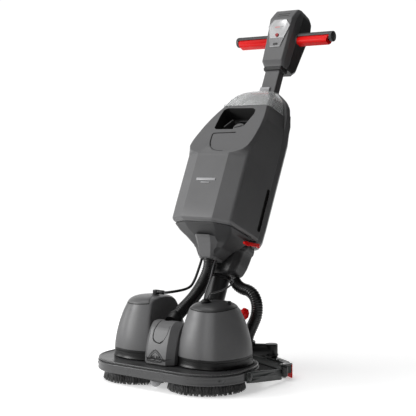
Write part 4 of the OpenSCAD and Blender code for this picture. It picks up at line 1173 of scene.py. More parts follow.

# side bolts with slotted heads, skirt screws with a single slot
fs = []
for s in (-1, 1):
    m = Matrix.Translation((s * 0.24475, 0.020, 0.042)) @ Matrix.Rotation(radians(90 * s), 4, "Y")
    b = lathe("bolt", [(0.0001, 0.0), (0.0035, 0.0), (0.0035, 0.0066), (0.0060, 0.0067), (0.0060, 0.0082), (0.0050, 0.0090),
                       (0.0001, 0.00915)], "housing", 32, m)
    boolean(b, box("slot", (-0.0005, -0.0070, 0.0083), (0.0005, 0.0070, 0.012), "housing", 0, 1, m))
    fs.append(b)
    for yy, ang in ((0.0, -38), (0.038, 52)):
        t = ang if s > 0 else 180 - ang
        mm_ = Matrix.Translation((s * BX, yy, 0.045)) @ Matrix.Rotation(radians(t), 4, "Z") \
            @ Matrix.Translation((0.12605, 0, 0)) @ Matrix.Rotation(radians(90), 4, "Y")
        q = lathe("screw", [(0.0001, 0.0), (0.0030, 0.0), (0.0030, 0.0006), (0.0024, 0.00115), (0.0001, 0.0012)], "housing", 24, mm_)
        boolean(q, box("slot", (-0.0003, -0.0022, 0.0007), (0.0003, 0.0022, 0.002), "black", 0, 1, mm_))
        fs.append(q)
fs = join("deck_fasteners", [sharp(o, 38) for o in fs])
done(fs, "deck", "steel", "deck_fasteners")

# pale glide foot between the brushes
gl = lathe("centre_glide", [(0.0001, 0.0015), (0.0050, 0.0021), (0.0100, 0.0048), (0.0128, 0.0075), (0.0146, 0.0105),
                            (0.0156, 0.0138), (0.0160, 0.0170), (0.0158, 0.0192), (0.0145, 0.0210), (0.0120, 0.0221),
                            (0.0062, 0.0229), (0.0060, 0.0260), (0.0060, 0.0298)], "label", 48, Matrix.Translation((0, -0.080, 0)))
done(sharp(gl, 45), "deck", "float_white", "centre_glide")


# ------------------------------------------------------- column: shared helpers
def soft_poly(pts, r, seg=5, sup=0.0006):
    """rounded outline with a support point either side of each corner, so flats stay flat when shaded"""
    out = []
    n = len(pts)
    for i in range(n):
        rad = r[i] if isinstance(r, (list, tuple)) else r
        p = Vector(pts[i])
        a = Vector(pts[i - 1]) - p
        b = Vector(pts[(i + 1) % n]) - p
        la, lb = a.length, b.length
        a.normalize()
        b.normalize()
        d = max(-0.999999, min(0.999999, a.dot(b)))
        half = math.acos(d) / 2
        t = min(rad / max(1e-6, math.tan(half)), la * 0.44, lb * 0.44)
        s, e = p + a * t, p + b * t
        k0 = s + a * min(sup, la * 0.04)
        k1 = e + b * min(sup, lb * 0.04)
        out.append((k0.x, k0.y))
        for k in range(seg + 1):
            u = k / seg
            q = s * (1 - u) ** 2 + p * (2 * u * (1 - u)) + e * u ** 2
            out.append((q.x, q.y))
        out.append((k1.x, k1.y))
    return out


def lerp_row(a, b, u):
    return [x * (1 - u) + y * u for x, y in zip(a, b)]


def soften_rows(rows, d=3.0):
    """rounds the creases between stacked sections: each inner row becomes three"""
    out = [rows[0]]
    for i in range(1, len(rows) - 1):
        p, c, q = rows[i - 1], rows[i], rows[i + 1]
        u = min(0.4, d / max(1e-6, abs(c[0] - p[0])))
        v = min(0.4, d / max(1e-6, abs(q[0] - c[0])))
        a, b = lerp_row(c, p, u), lerp_row(c, q, v)
        m = [0.25 * x + 0.5 * y + 0.25 * z for x, y, z in zip(a, c, b)]
        out += [a, m, b]
    out.append(rows[-1])
    return out


def six_ring(row, rf, rc, rr, seg=5):
    w, hf, vf, hc, vc, hs, vr = row
    pts = [(-hf, vf), (hf, vf), (hc, vc), (hs, vr), (-hs, vr), (-hc, vc)]
    o = soft_poly([(x * MM, v * MM) for x, v in pts], [rf * MM, rf * MM, rc * MM, rr * MM, rr * MM, rc * MM], seg)
    return [(x, v, w * MM) for x, v in o]


def eight_ring(row, rf, rc, rr, seg=4):
    w, hf, vf, hc, vc, hs, vs, hr, vr = row
    pts = [(-hf, vf), (hf, vf), (hc, vc), (hs, vs), (hr, vr), (-hr, vr), (-hs, vs), (-hc, vc)]
    o = soft_poly([(x * MM, v * MM) for x, v in pts],
                  [rf * MM, rf * MM, rc * MM, rr * MM, rr * MM, rr * MM, rr * MM, rc * MM], seg)
    return [(x, v, w * MM) for x, v in o]


def stack(name, rows, mat, rf=4, rc=12, rr=3, soft=3.0, ring=six_ring, seg=5):
    rows = soften_rows([list(map(float, r)) for r in rows], soft)
    o = loft(name, [ring(r, rf, rc, rr, seg) for r in rows], mat, xf=COL)
    return sharp(o, 50)


def cbox(name, lo, hi, mat, bevel=0.8, seg=2, extra=None):
    """box in the column's millimetres"""
    xf = COL if extra is None else COL @ extra
    return box(name, [c * MM for c in lo], [c * MM for c in hi], mat, bevel * MM, seg, xf)


# frame of the sloping hood: x across, s up the slope, n out of it
HOOD = COL @ Matrix(((1, 0, 0, 0), (0, 0.4239, -0.9057, -0.1279), (0, 0.9057, 0.4239, 0.632), (0, 0, 0, 1)))


def hs_(w):
    return (w - 632) / 0.9057


# --------------------------------------------------------------- recovery tank
TANK = [
    (278.0, 50, -180, 98, -158, 112, -22.5),
    (280.5, 54, -186, 105, -163, 116, -22.5),
    (287.0, 56, -190.5, 109, -167, 118, -22.5),
    (330.0, 56, -191, 109.5, -168, 118, -22.5),
    (484.0, 56, -192, 110, -168.5, 118, -22.5),
    (491.5, 56, -193, 110, -168.5, 118, -22.5),
    (497.0, 77, -191.2, 110.5, -168.5, 118, -22.5),
    (506.0, 96, -187.0, 111.5, -167.5, 118, -22.5),
    (521.0, 106, -179.8, 113, -164, 118, -22.5),
    (541.0, 109, -170.4, 114, -157, 118, -22.5),
    (561.0, 108.5, -161.1, 113.5, -148, 118, -22.5),
    (607.0, 104, -139.6, 109.5, -128, 115, -22.5),
    (640.0, 97.5, -124.1, 103, -114, 111, -22.5),
    (667.0, 89.5, -111.5, 95, -102, 105, -22.5),
    (690.0, 80.5, -100.7, 86, -92.5, 99.5, -22.5),
    (695.5, 78.0, -98.2, 83.5, -90.0, 98.0, -22.5),
]


def tank_rows():
    rows = [list(map(float, r)) for r in TANK]
    head = soften_rows(rows[:6], 2.0)[:-1]
    tail = soften_rows(rows[5:], 2.5)
    return head + tail


def recovery():
    rings = []
    for r in tank_rows():
        rings.append(six_ring(r, 3.0, 13, 3))
    return loft("recovery_tank", rings, "cover", xf=COL)


tank = recovery()
WIN = [(-51, -44), (-60, -36), (-69.5, 22), (-71, 50), (-61, 60), (34, 57.5), (47, 49), (51.5, 27), (45.5, -22),
       (38, -38), (17, -44)]
WIN_R = [7, 6, 8, 7, 7, 7, 7, 8, 8, 8, 8]


def win_outline(g=0.0):
    cx = sum(p[0] for p in WIN) / len(WIN)
    cy = sum(p[1] for p in WIN) / len(WIN)
    pts = []
    for x, s in WIN:
        dx, dy = x - cx, s - cy
        k = 1 + g / math.hypot(dx, dy)
        pts.append(((cx + dx * k) * MM, (cy + dy * k) * MM))
    return round_poly(pts, [r * MM for r in WIN_R], 5)


# pocket: funnel-edged mouth, then a well with a flat floor
depths = [(5.0, 2.2), (0.4, 1.6), (-0.8, 0.6), (-2.2, 0.0), (-45.0, -2.0)]
rings = [[(p[0], p[1], d * MM) for p in win_outline(g)] for d, g in depths]
cut = loft("window_cut", rings, "black", xf=HOOD)
boolean(tank, cut)
# long grip recess down each side
for s in (-1, 1):
    oc = round_poly([(-40.0 * MM, 305 * MM), (-24.5 * MM, 305 * MM), (-24.5 * MM, 442 * MM), (-40.0 * MM, 442 * MM)],
                    6.5 * MM, 5)
    r0, r1 = ([(s * xx * MM, p[0], p[1]) for p in oc] for xx in (112.0, 121.0))
    boolean(tank, loft("slot_cut", [r0, r1], "black", xf=COL))
# slit drawn round the float cover on the hood
slit = [(31, 577), (10, 576), (-20, 575.2), (-44, 574.5), (-49.5, 572), (-48.5, 564), (-43.5, 549), (-39, 538),
        (-34, 528.5), (-27.5, 519.5)]


def hood_pts(pts, n=0.0):
    return [HOOD @ Vector((x * MM, hs_(w) * MM, n * MM)) for x, w in pts]


groove(tank, hood_pts(slit, 0.1), 0.0024)
groove(tank, hood_pts([(-27.5, 519.5), (-19, 511.5), (-7, 504.5), (5, 500.8), (18, 499.2), (30, 499)], 0.1), 0.0009)
sharp(tank, 42)


shade_inside = paint_faces
inv_h, inv_c = HOOD.inverted(), COL.inverted()


def in_pocket(c):
    q = inv_h @ c
    return q.z < -0.0009 and q.z > -0.060 and -0.074 < q.x < 0.056 and -0.048 < q.y < 0.064


def in_slot(c):
    q = inv_c @ c
    return abs(q.x) < 0.1172 and abs(q.x) > 0.108 and -0.0405 < q.y < -0.0235 and 0.303 < q.z < 0.445


# painted shade: the inner faces of the window pocket and the grip slots are made black
shade_inside(tank, in_pocket, "black")
shade_inside(tank, in_slot, "black")
# wedge where the front panel runs up into the hood
wd = [(-56, -192.6, 490.8), (-37, -186.6, 514.5), (-29, -186.0, 516.0), (-6, -191.2, 500.6), (40, -193.4, 491.4)]
vs = [(x * MM, v * MM, w * MM) for x, v, w in wd] + [(x * MM, (v + 7) * MM, (w - 3) * MM) for x, v, w in wd]
fs = [(0, 1, 2, 3, 4), (9, 8, 7, 6, 5)] + [(i, 5 + i, 5 + (i + 1) % 5, (i + 1) % 5) for i in range(5)]
wedge = new_mesh("wedge", vs, fs, "cover", COL, smooth=False)
mods(wedge, 0.0004, 2, 20)
# small generic badge on the front panel: two plain bars, no lettering
bars = [cbox("bar", (-36, -193.1, 401.5), (33, -191.4, 409.5), "label", 0.6),
        cbox("bar", (-17, -193.1, 394), (13, -191.4, 396.8), "label", 0.4)]
# black tubes sunk in the hood slit's grooves: painted shade
path, _ = catmull(hood_pts(slit, -0.5), 8)
dark = [tube("groove_shade", path, 0.0019, "black", 10)]
path, _ = catmull(hood_pts([(-27.5, 519.5), (-19, 511.5), (-7, 504.5), (5, 500.8), (18, 499.2), (30, 499)], -0.2), 8)
dark.append(tube("groove_shade", path, 0.0007, "black", 8))
tank = join("recovery_tank", [tank, wedge] + bars + dark)
done(tank, "column", "cover_grey", "recovery_tank")

# things seen at the bottom of the window
cap = lathe("filler_cap", [(0.0001, -0.0136), (0.0135, -0.0136), (0.0160, -0.0142), (0.0172, -0.0150), (0.0176, -0.0160),
                           (0.0178, -0.0175), (0.0196, -0.0180), (0.0202, -0.0190), (0.0203, -0.0300),
                           (0.0200, -0.0440), (0.0001, -0.0440)], "cover", 60,
            HOOD @ Matrix.Translation((0.011, -0.016, 0)), wob=lambda a, z: 1 - (0.018 if (-0.030 < z < -0.018) and
                                                                                cos(24 * a) > 0.2 else 0))
sharp(cap, 35)
bar = box("bar", (-0.0125, -0.0022, -0.0140), (0.0125, 0.0022, -0.0105), "cover", 0.0009, 2,
          HOOD @ Matrix.Translation((0.011, -0.016, 0)) @ Matrix.Rotation(0.3, 4, "Z"))
cap = join("filler_cap", [cap, bar])
done(cap, "column", "cover_grey", "filler_cap")
ribs = [box("rib", (-0.040, -0.0300, -0.0440), (-0.0360, 0.0080, -0.0180), "cover_dark_and_painted_shade", 0.0006, 2,
            HOOD @ Matrix.Rotation(-0.45, 4, "Z")),
        box("rib", (-0.020, 0.0330, -0.0440), (0.012, 0.0360, -0.0330), "housing", 0.0006, 2, HOOD),
        box("rib", (0.014, 0.0300, -0.0440), (0.044, 0.0380, -0.0330), "housing", 0.0006, 2, HOOD)]
ribs = join("recess_ribs", ribs)
done(ribs, "column", "cover_grey")


# --------------------------------------------------------------- solution tank
sol = stack("solution_tank", [
    (262.0, 98, -21, 103, 0, 90, 18), (266.0, 104, -21, 109, 1, 97, 22), (285.0, 112, -21, 116.5, 2, 104, 25),
    (330.0, 112, -21, 117.5, 3, 105, 26), (612.0, 112, -21, 117.5, 4, 106, 27), (640.0, 110, -21, 115, 3, 103, 25),
    (668.0, 111, -21, 115, 3, 101, 22), (690.0, 107, -21, 111.5, -0.5, 97.5, 15), (702.0, 105, -21, 110, -2, 96, 12)],
    "cover", rf=1.5, rc=7, rr=9)
sh = stack("shoulder", [
    (701.0, 104, -21, 109, -4, 95, 11.5), (728.0, 96, -21, 102, -5, 88, 7), (750.0, 81, -21, 87, -7, 74, 2),
    (768.0, 61, -21, 66, -9, 56, -3), (780.0, 46, -21, 49, -12, 44, -6)], "cover", rf=1.5, rc=3, rr=2, soft=6)
cut = box("cut", (-0.0283, -0.0083, 0.20), (0.0283, 0.06, 0.90), "black", 0, 1, COL)
boolean(sol, cut)
cut = box("cut", (-0.0283, -0.0083, 0.20), (0.0283, 0.06, 0.90), "black", 0, 1, COL)
boolean(sh, cut)
pin = lathe("pin", [(0.0024, 0), (0.0024, 0.0228), (0.0018, 0.0234)], "steel", 20,
            COL @ Matrix.Translation((0.098, -0.014, 0.267)) @ Matrix.Rotation(radians(90), 4, "Y"))
sharp(sol, 45)
sol = join("solution_tank", [sol, sh, pin])
done(sol, "column", "cover_grey", "solution_tank")


# ----------------------------------------------------------------------- shaft
def rect_ring(hx, v0, v1, w, r, seg=5):
    o = soft_poly([(-hx * MM, v0 * MM), (hx * MM, v0 * MM), (hx * MM, v1 * MM), (-hx * MM, v1 * MM)], r * MM, seg)
    return [(x, v, w * MM) for x, v in o]


shaft = loft("column_tube", [rect_ring(28, -8, 22, w, 5) for w in (188.3, 300, 500, 700, 899.6)], "shaft", xf=COL)
sharp(shaft, 50)
done(shaft, "column", "painted_grey", "column_tube")
# pale clip that hooks the lid to the shaft
clip = [cbox("clip", (-27.5, -12.6, 788.6), (9.0, -8.2, 806.0), "label", 1.2, 3),
        cbox("clip", (-25.0, -13.6, 791.5), (6.5, -12.2, 793.5), "label", 0.5),
        cbox("clip", (-25.0, -13.6, 796.0), (6.5, -12.2, 798.0), "label", 0.5)]
clip = join("lid_clip", clip)
done(clip, "column", "lid_clear")


# ------------------------------------------------------------------------- lid
def lid():
    outer = [(696.2, 77.5, -98.6, 85.5, -88.5, 96.0, -23.5), (700.0, 76.8, -97.0, 85.3, -86.5, 95.2, -23.5),
             (724.0, 72.0, -86.0, 84.0, -74.0, 91.0, -23.5), (740.0, 64.0, -77.0, 78.0, -64.0, 84.0, -23.5),
             (753.0, 53.0, -68.0, 69.0, -56.0, 75.0, -23.5), (765.0, 42.0, -56.0, 58.0, -46.0, 64.0, -23.5),
             (773.0, 32.0, -45.0, 48.0, -37.0, 53.0, -23.5), (779.0, 26.0, -36.0, 40.0, -31.0, 44.0, -23.5)]
    rows = soften_rows([list(map(float, r)) for r in outer], 6)
    out_r = [six_ring(r, 5, 9, 2) for r in rows]
    inner = []
    for r in rows:
        q = [r[0], r[1] - 2.6, r[2] + 3.0, r[3] - 3.0, r[4] + 2.6, r[5] - 3.0, r[6] - 2.0]
        inner.append(six_ring(q, 4, 7, 1))
    inner[-1] = [(p[0], p[1], p[2] - 0.0035) for p in inner[-1]]
    rings = inner[::-1] + out_r
    return loft("tank_lid", rings, "lid", xf=COL)


ld = lid()
sharp(ld, 45)
# rolled flange along the foot of the lid, and its hinge barrel
fl = [six_ring((w, 77.5 + g, -98.6 - g, 85.5 + g, -88.5 - g, 96 + g, -23.5), 5, 9, 2) for w, g in
      ((696.1, 0.4), (696.1, 2.2), (697.2, 3.0), (699.4, 2.8), (700.6, 1.4), (700.8, -0.6))]
fl = loft("flange", fl, "lid", cap0=False, cap1=False, xf=COL)
br = lathe("barrel", [(0.0018, -0.024), (0.0025, -0.0236), (0.0025, 0.0236), (0.0018, 0.024)], "lid", 20,
           COL @ Matrix.Translation((0, -0.0265, 0.7800)) @ Matrix.Rotation(radians(90), 4, "Y"))
ld = join("tank_lid", [ld, fl, br])
done(ld, "lid", "lid_clear", "tank_lid")
# white float housing seen through the frosted lid
wc = lathe("float_housing", [(0.0001, 0.0300), (0.0090, 0.0298), (0.0160, 0.0275), (0.0195, 0.0230), (0.0205, 0.0160),
                             (0.0205, 0.0030), (0.0001, 0.0030)], "white", 48,
           COL @ Matrix.Translation((0.0, -0.066, 0.6950)))
done(wc, "column", "float_white")

# ----------------------------------------------------------------- tank latch
lat = [(-8.5, 262.5), (-8, 270), (-13, 273.5), (-20, 272.2), (-40, 266.5), (-54, 262.8), (-68, 258.6), (-84, 256.6),
       (-90, 252.5), (-90, 248.5), (-86.5, 246.3), (-74, 247.3), (-62, 249.2), (-50, 253), (-36, 257.2), (-20, 260.5)]
oc = round_poly([(v * MM, w * MM) for v, w in lat], 1.6 * MM, 3)
r = [[(xx * MM, p[0] , p[1]) for p in oc] for xx in (113.6, 114.4, 120.2, 121.0)]
lt = loft("tank_latch", r, "red", xf=COL)
mods(lt, 0.0008, 3, 50)
boss = lathe("boss", [(0.0026, 0), (0.0060, 0), (0.0064, 0.0006), (0.0064, 0.0056), (0.0058, 0.0062), (0.0026, 0.0062)],
             "red", 32, COL @ Matrix.Translation((0.1145, -0.014, 0.267)) @ Matrix.Rotation(radians(90), 4, "Y"),
             cap=False)
lt = join("tank_latch", [sharp(lt, 40), sharp(boss, 40)])
done(lt, "latch", "red_plastic", "tank_latch")


# --------------------------------------------------------------- lower housing
# the dark grey here is painted shade below the tank rim
hz = stack("lower_housing", [
    (199.0, 27, -99, 33, -90, 38, -50.6), (206.0, 29, -103, 37, -93, 44, -50.6), (226.0, 30, -106, 50, -96, 62, -50.6),
    (240.0, 31, -114, 66, -104, 84, -50.6), (252.0, 40, -130, 80, -118, 97, -50.6),
    (262.0, 49, -150, 94, -134, 108, -50.6), (271.0, 52, -166, 100, -147, 112, -50.6),
    (275.2, 53.0, -174.5, 103, -154.5, 113.5, -50.6), (277.4, 51.0, -172.5, 101, -152.5, 112, -50.6)],
    "cover_dark_and_painted_shade", rf=4, rc=12, rr=4, soft=2.5)
# nose: proud trapezoid in front of the hose mouth
nose = stack("nose", [
    (192.0, 18, -99.5, 27, -90, 30, -52), (195.0, 20.0, -103.0, 28.5, -91, 32, -52),
    (210.0, 21.5, -110.5, 31, -95, 37, -52), (230.0, 22.5, -121.5, 38, -103, 44, -52),
    (243.0, 23.5, -132.0, 42, -112, 50, -52), (250.0, 24, -141.0, 42, -122, 50, -52)],
    "cover", rf=2.0, rc=3, rr=2, soft=2.0)
mouth = lathe("mouth_cut", [(0.0208, -0.030), (0.0208, 0.030)], "black", 48,
              COL @ Matrix.Translation((0, -0.0759, 0.197)) @ Matrix.Rotation(radians(21.1), 4, "X"))
boolean(hz, mouth, keep=True)
boolean(nose, mouth)
sharp(hz, 45)
sharp(nose, 40)
hz = join("lower_housing", [hz, nose])
done(hz, "column", "cover_grey", "lower_housing")

# --------------------------------------------------------------- underside block
ub = stack("underside_block", [
    (165.5, 44, -38, 52, -28, 50, 12), (168.5, 50, -42, 60, -32, 58, 17), (176.0, 56, -46, 72, -36, 68, 21),
    (200.0, 62, -49, 80, -38, 76, 23.0), (226.0, 66, -50, 84, -38, 80, 23.6), (240.0, 70, -50, 88, -40, 84, 20),
    (243.5, 90, -50, 98, -40, 90, 17), (258.0, 92, -50, 100, -40, 90, 17), (261.3, 90, -48, 98, -38, 88, 16)],
    "housing", rf=7, rc=10, rr=9, soft=4)
cut = box("cut", (-0.12, -0.06, 0.10), (-0.036, 0.06, 0.240), "housing", 0, 1, COL)
boolean(ub, cut)
for (vv, ww, an) in ((-60.5, 161.6, 10.9), (-66.9, 180.1, 27.9)):
    cut = lathe("cut", [(0.0206, -0.030), (0.0206, 0.030)], "black", 40,
                COL @ Matrix.Translation((0, vv * MM, ww * MM)) @ Matrix.Rotation(radians(an), 4, "X"))
    boolean(ub, cut)
cut = lathe("cut", [(0.0196, -0.030), (0.0196, 0.001)], "black", 40,
            COL @ Matrix.Translation((0.050, 0.00706, 0.160)) @ Matrix.Rotation(radians(197.2), 4, "Z")
            @ Matrix.Rotation(radians(44.9), 4, "Y"))
boolean(ub, cut)
sharp(ub, 45)
collar = lathe("collar", [(0.0302, 0.157), (0.0352, 0.157), (0.0364, 0.1582), (0.0364, 0.1690), (0.0355, 0.1705),
                          (0.0302, 0.1705)], "housing", 56, COL, cap=False)
sharp(collar, 35)
ub = join("underside_block", [ub, collar])
done(ub, "column", "housing_dark", "underside_block")

# neck
nk = lathe("neck_tube", [(0.0262, 0.090), (0.0300, 0.0905), (0.0300, 0.1600), (0.0300, 0.1875), (0.0262, 0.1878)],
           "paint", 64, COL, cap=False)
PW, PV = 0.0595, -0.0002
nb = lathe("neck_boss", [(0.0081, -0.0344), (0.0250, -0.0344), (0.0266, -0.0338), (0.0270, -0.0325), (0.0270, 0.0325),
                         (0.0266, 0.0338), (0.0250, 0.0344), (0.0081, 0.0344)], "paint", 56,
           COL @ Matrix.Translation((0, PV, PW)) @ Matrix.Rotation(radians(90), 4, "Y"), cap=False)
nl = lathe("neck_low", [(0.0262, 0.066), (0.0300, 0.066), (0.0300, 0.0906), (0.0262, 0.0906)], "paint", 64, COL, cap=False)
weld = lathe("weld", [(0.0300, 0.0835), (0.0315, 0.0845), (0.0318, 0.0860), (0.0312, 0.0875), (0.0300, 0.0885)],
             "paint", 56, COL, cap=False)
nk = join("neck_tube", [sharp(nk, 40), sharp(nb, 40), sharp(nl, 40), sharp(weld, 60)])
done(nk, "column", "painted_dark", "neck_tube")
# ------------------------------------------------------------------------ head
HEAD = [
    (882.0, 30, -13, 37, -7, 38, 48, 28, 61), (884.5, 31, -14, 38, -8, 39, 48, 28, 62),
    (897.0, 36, -27, 43, -17, 45, 56, 32, 70), (970.0, 38, -29, 46, -18, 48, 66, 34, 84),
    (1019.0, 40, -32.5, 49, -20, 51, 72, 36, 91), (1046.0, 41, -35, 50, -20, 52, 74, 37, 94),
    (1074.0, 41, -20, 51, -8, 53, 66, 37, 90), (1088.0, 41, -12, 49, 0, 50, 50, 36, 72),
    (1092.0, 39, -6, 45, 2, 46, 36, 35, 50),
]
SPLIT = 14.0


def head_half(front, shrink=0.0):
    """one shell of the head: the whole outer skin, which the caller cuts at the split plane"""
    rows = [list(map(float, r)) for r in HEAD]
    rows = [rows[0], rows[1]] + soften_rows(rows[2:-1], 3.5) + [rows[-1]]
    if shrink:
        k = shrink
        rows = [[r[0] + (k if i < 2 else (-k if i > len(rows) - 3 else 0)), r[1] - k, r[2] + k, r[3] - k, r[4] + k * 0.4,
                 r[5] - k, r[6], r[7] - k, r[8] - k] for i, r in enumerate(rows)]
    # the rear shell takes the dark grey: painted shade on the side turned away from the key light
    o = loft("head", [eight_ring(r, 6, 7, 8) for r in rows], "cover" if front else "cover_dark_and_painted_shade", xf=COL)
    return o


def head_cut(front):
    g = 0.35
    if front:
        c = box("cut", (-0.2, (SPLIT - g) * MM, 0.80), (0.2, 0.2, 1.2), "cover", 0, 1, COL)
    else:
        c = box("cut", (-0.2, -0.2, 0.80), (0.2, (SPLIT + g) * MM, 1.2), "cover_dark_and_painted_shade", 0, 1, COL)
    return c


def bar_bore():
    return lathe("bore", [(0.0121, -0.10), (0.0121, 0.10)], "housing", 48,
                 COL @ Matrix.Translation((0, 0.014, 0.994)) @ Matrix.Rotation(radians(90), 4, "Y"))


hf = head_half(True)
hr = head_half(False)
for o, front in ((hf, True), (hr, False)):
    boolean(o, head_cut(front))
    boolean(o, bar_bore())
    boolean(o, box("tube", (-0.0281, -0.0081, 0.86), (0.0281, 0.0221, 0.8998), "housing", 0, 1, COL))
# two thin vent slots across the front shell
for w in (1058, 1067):
    c = box("slot", (-0.0220, -0.060, w * MM), (0.0220, -0.004, (w + 2.5) * MM), "black", 0.0009, 2, COL)
    boolean(hf, c)
inv_c4 = COL.inverted()


def in_vent(c):
    q = inv_c4 @ c
    return abs(q.x) < 0.0219 and 1.0581 < q.z < 1.0604 and q.y > -0.0285 or \
        abs(q.x) < 0.0219 and 1.0671 < q.z < 1.0694 and q.y > -0.0235


# painted shade: the vent slots' inner faces are made black, with black strips set inside them
shade_inside(hf, in_vent, "black")
vent_shade_strips = []
for w, v0 in ((1058.25, -27.2), (1067.25, -22.4)):
    vent_shade_strips.append(cbox("dark", (-21.9, v0, w), (21.9, v0 + 6, w + 2.0), "black", 0.2, 1))
c = lathe("hole", [(0.0073, -0.060), (0.0073, -0.010)], "black", 40,
          COL @ Matrix.Translation((0, 0, 0.984)) @ Matrix.Rotation(radians(-90), 4, "X"))
boolean(hf, c)
c = box("hole", (-0.0098, -0.060, 0.948), (0.0098, -0.010, 0.958), "black", 0.0, 1, COL)
boolean(hf, c)
sharp(hf, 42)
sharp(hr, 42)
# screws on the back shell are added further down
for s in (-1, 1):
    pass
hf = join("head_front_cover", [hf] + vent_shade_strips)
done(hf, "column", "cover_grey", "head_front_cover")
scr = []
for x, w in ((-24, 905), (24, 905), (-26, 1030), (26, 1030)):
    vb = {905: 71.0, 1030: 92.2}[w]
    scr.append(lathe("boss", [(0.0001, 0.0), (0.0042, 0.0), (0.0042, -0.0006), (0.0030, -0.0010), (0.0001, -0.0010)], "black", 24,
                     COL @ Matrix.Translation((x * MM, (vb - 1.2) * MM, w * MM)) @ Matrix.Rotation(radians(-90), 4, "X")))
hr = join("head_rear_cover", [hr] + scr)
done(hr, "column", "cover_grey", "head_rear_cover")

cr_ = [loft("collar", [rect_ring(hx, v0, v1, w, 7) for hx, v0, v1, w in
                       ((32.5, -12.5, 26.5, 868.0), (34, -14, 28, 869.6), (34, -14, 28, 880.2), (33.2, -13.2, 27.2, 881.8))],
            "housing", xf=COL)]
boolean(cr_[0], box("tube", (-0.0281, -0.0081, 0.84), (0.0281, 0.0221, 0.92), "housing", 0, 1, COL))
cr_[0] = sharp(cr_[0], 42)
cr_.append(loft("bead", [rect_ring(34 + g, -14 - g, 28 + g, w, 7) for g, w in ((0, 873.4), (0.7, 873.9), (0.7, 876.2), (0, 876.7))],
                "housing", cap0=False, cap1=False, xf=COL))
cl_ = join("head_collar", cr_)
done(cl_, "column", "housing_dark", "head_collar")

# silver plate: hexagon-like outline with a darker lower strip and a raised rim
TILT = COL @ Matrix.Translation((0, -0.0312, 0.992)) @ Matrix.Rotation(radians(3.6), 4, "X") @ Matrix.Rotation(radians(90), 4, "X")


def plate_outline(k=0.0):
    pts = [(-19, 943), (19, 943), (24, 964), (41, 1018), (23, 1040), (-23, 1040), (-41, 1018), (-24, 964)]
    out = []
    for x, w in pts:
        dx, dy = x, w - 996
        q = 1 - k / math.hypot(dx, dy)
        out.append((dx * q * MM, (dy * q + 996 - 992) * MM))
    return round_poly(out, [3 * MM, 3 * MM, 4 * MM, 4 * MM, 4 * MM, 4 * MM, 4 * MM, 4 * MM], 4)


pr = [[(p[0], p[1], z) for p in plate_outline(k)] for k, z in ((0.0, 0.0003), (0.0, 0.0019), (0.7, 0.0025), (1.6, 0.0025), (2.2, 0.0020))]
pl = loft("control_plate", pr, "silver", xf=TILT)
boolean(pl, lathe("hole", [(0.0062, -0.02), (0.0062, 0.02)], "silver", 40,
                  COL @ Matrix.Translation((0, -0.0312, 0.984)) @ Matrix.Rotation(radians(-90), 4, "X")))
boolean(pl, box("hole", (-0.0082, -0.060, 0.9498), (0.0082, -0.02, 0.9562), "silver", 0, 1, COL))
# darker strip below the power key and thin dividing lines; nothing is written on it
strip = round_poly([(-0.0185, -0.0465), (0.0185, -0.0465), (0.0222, -0.0300), (0.0262, -0.0175), (-0.0262, -0.0175), (-0.0222, -0.0300)],
                   [0.002] * 6, 3)
st = loft("strip", [[(p[0], p[1], z) for p in strip] for z in (0.0012, 0.0022)], "silver_dark", xf=TILT)
boolean(st, lathe("hole", [(0.0064, -0.02), (0.0064, 0.02)], "silver_dark", 40,
                  COL @ Matrix.Translation((0, -0.0312, 0.984)) @ Matrix.Rotation(radians(-90), 4, "X")))
boolean(st, box("hole", (-0.0084, -0.060, 0.9496), (0.0084, -0.02, 0.9564), "silver_dark", 0, 1, COL))
marks = [box("mark", (-0.0150, 0.0205, 0.0019), (0.0040, 0.0222, 0.0022), "red", 0.0001, 1, TILT),
         box("mark", (0.0055, 0.0205, 0.0019), (0.0170, 0.0222, 0.0022), "silver_dark", 0.0001, 1, TILT),
         box("mark", (-0.0110, 0.0160, 0.0019), (0.0110, 0.0168, 0.0022), "silver_dark", 0.0001, 1, TILT)]
pl = join("control_plate", [sharp(pl, 40), sharp(st, 40)] + marks)
done(pl, "column", "plate_silver", "control_plate")

pb = lathe("power_button", [(0.0001, -0.0242), (0.0070, -0.0270), (0.0070, -0.0242), (0.0060, -0.0242), (0.0060, -0.0352),
                            (0.0054, -0.0362), (0.0040, -0.0364), (0.0034, -0.0359), (0.0001, -0.0358)], "red_deep", 40,
           COL @ Matrix.Translation((0, 0, 0.984)) @ Matrix.Rotation(radians(-90), 4, "X"))
done(sharp(pb, 35), "power_key", "button_dark", "power_button")
wb = join("water_button", [cbox("water_button", (-7.9, -33.2, 950.1), (7.9, -21.4, 955.9), "cover_dark_and_painted_shade", 1.2, 3),
                           cbox("rib", (-3.0, -33.7, 951.6), (3.0, -32.6, 954.4), "housing", 0.4, 2)])
done(wb, "water_key", "button_grey", "water_button")

# handle bar, grips and triggers
BARX = COL @ Matrix.Translation((0, 0.014, 0.994)) @ Matrix.Rotation(radians(90), 4, "Y")
bar = lathe("handle_bar", [(0.0001, -0.1799), (0.0084, -0.1799), (0.0090, -0.1790), (0.0090, -0.0524), (0.0120, -0.0520),
                           (0.0120, 0.0520), (0.0090, 0.0524), (0.0090, 0.1790), (0.0084, 0.1799), (0.0001, 0.1799)], "steel",
            48, BARX)
done(sharp(bar, 38), "column", "painted_dark", "handle_bar")
# frame whose x is the bar's axis, y the column's v, z the column's w, set on the bar
BAR = COL @ Matrix.Translation((0, 0.014, 0.994))


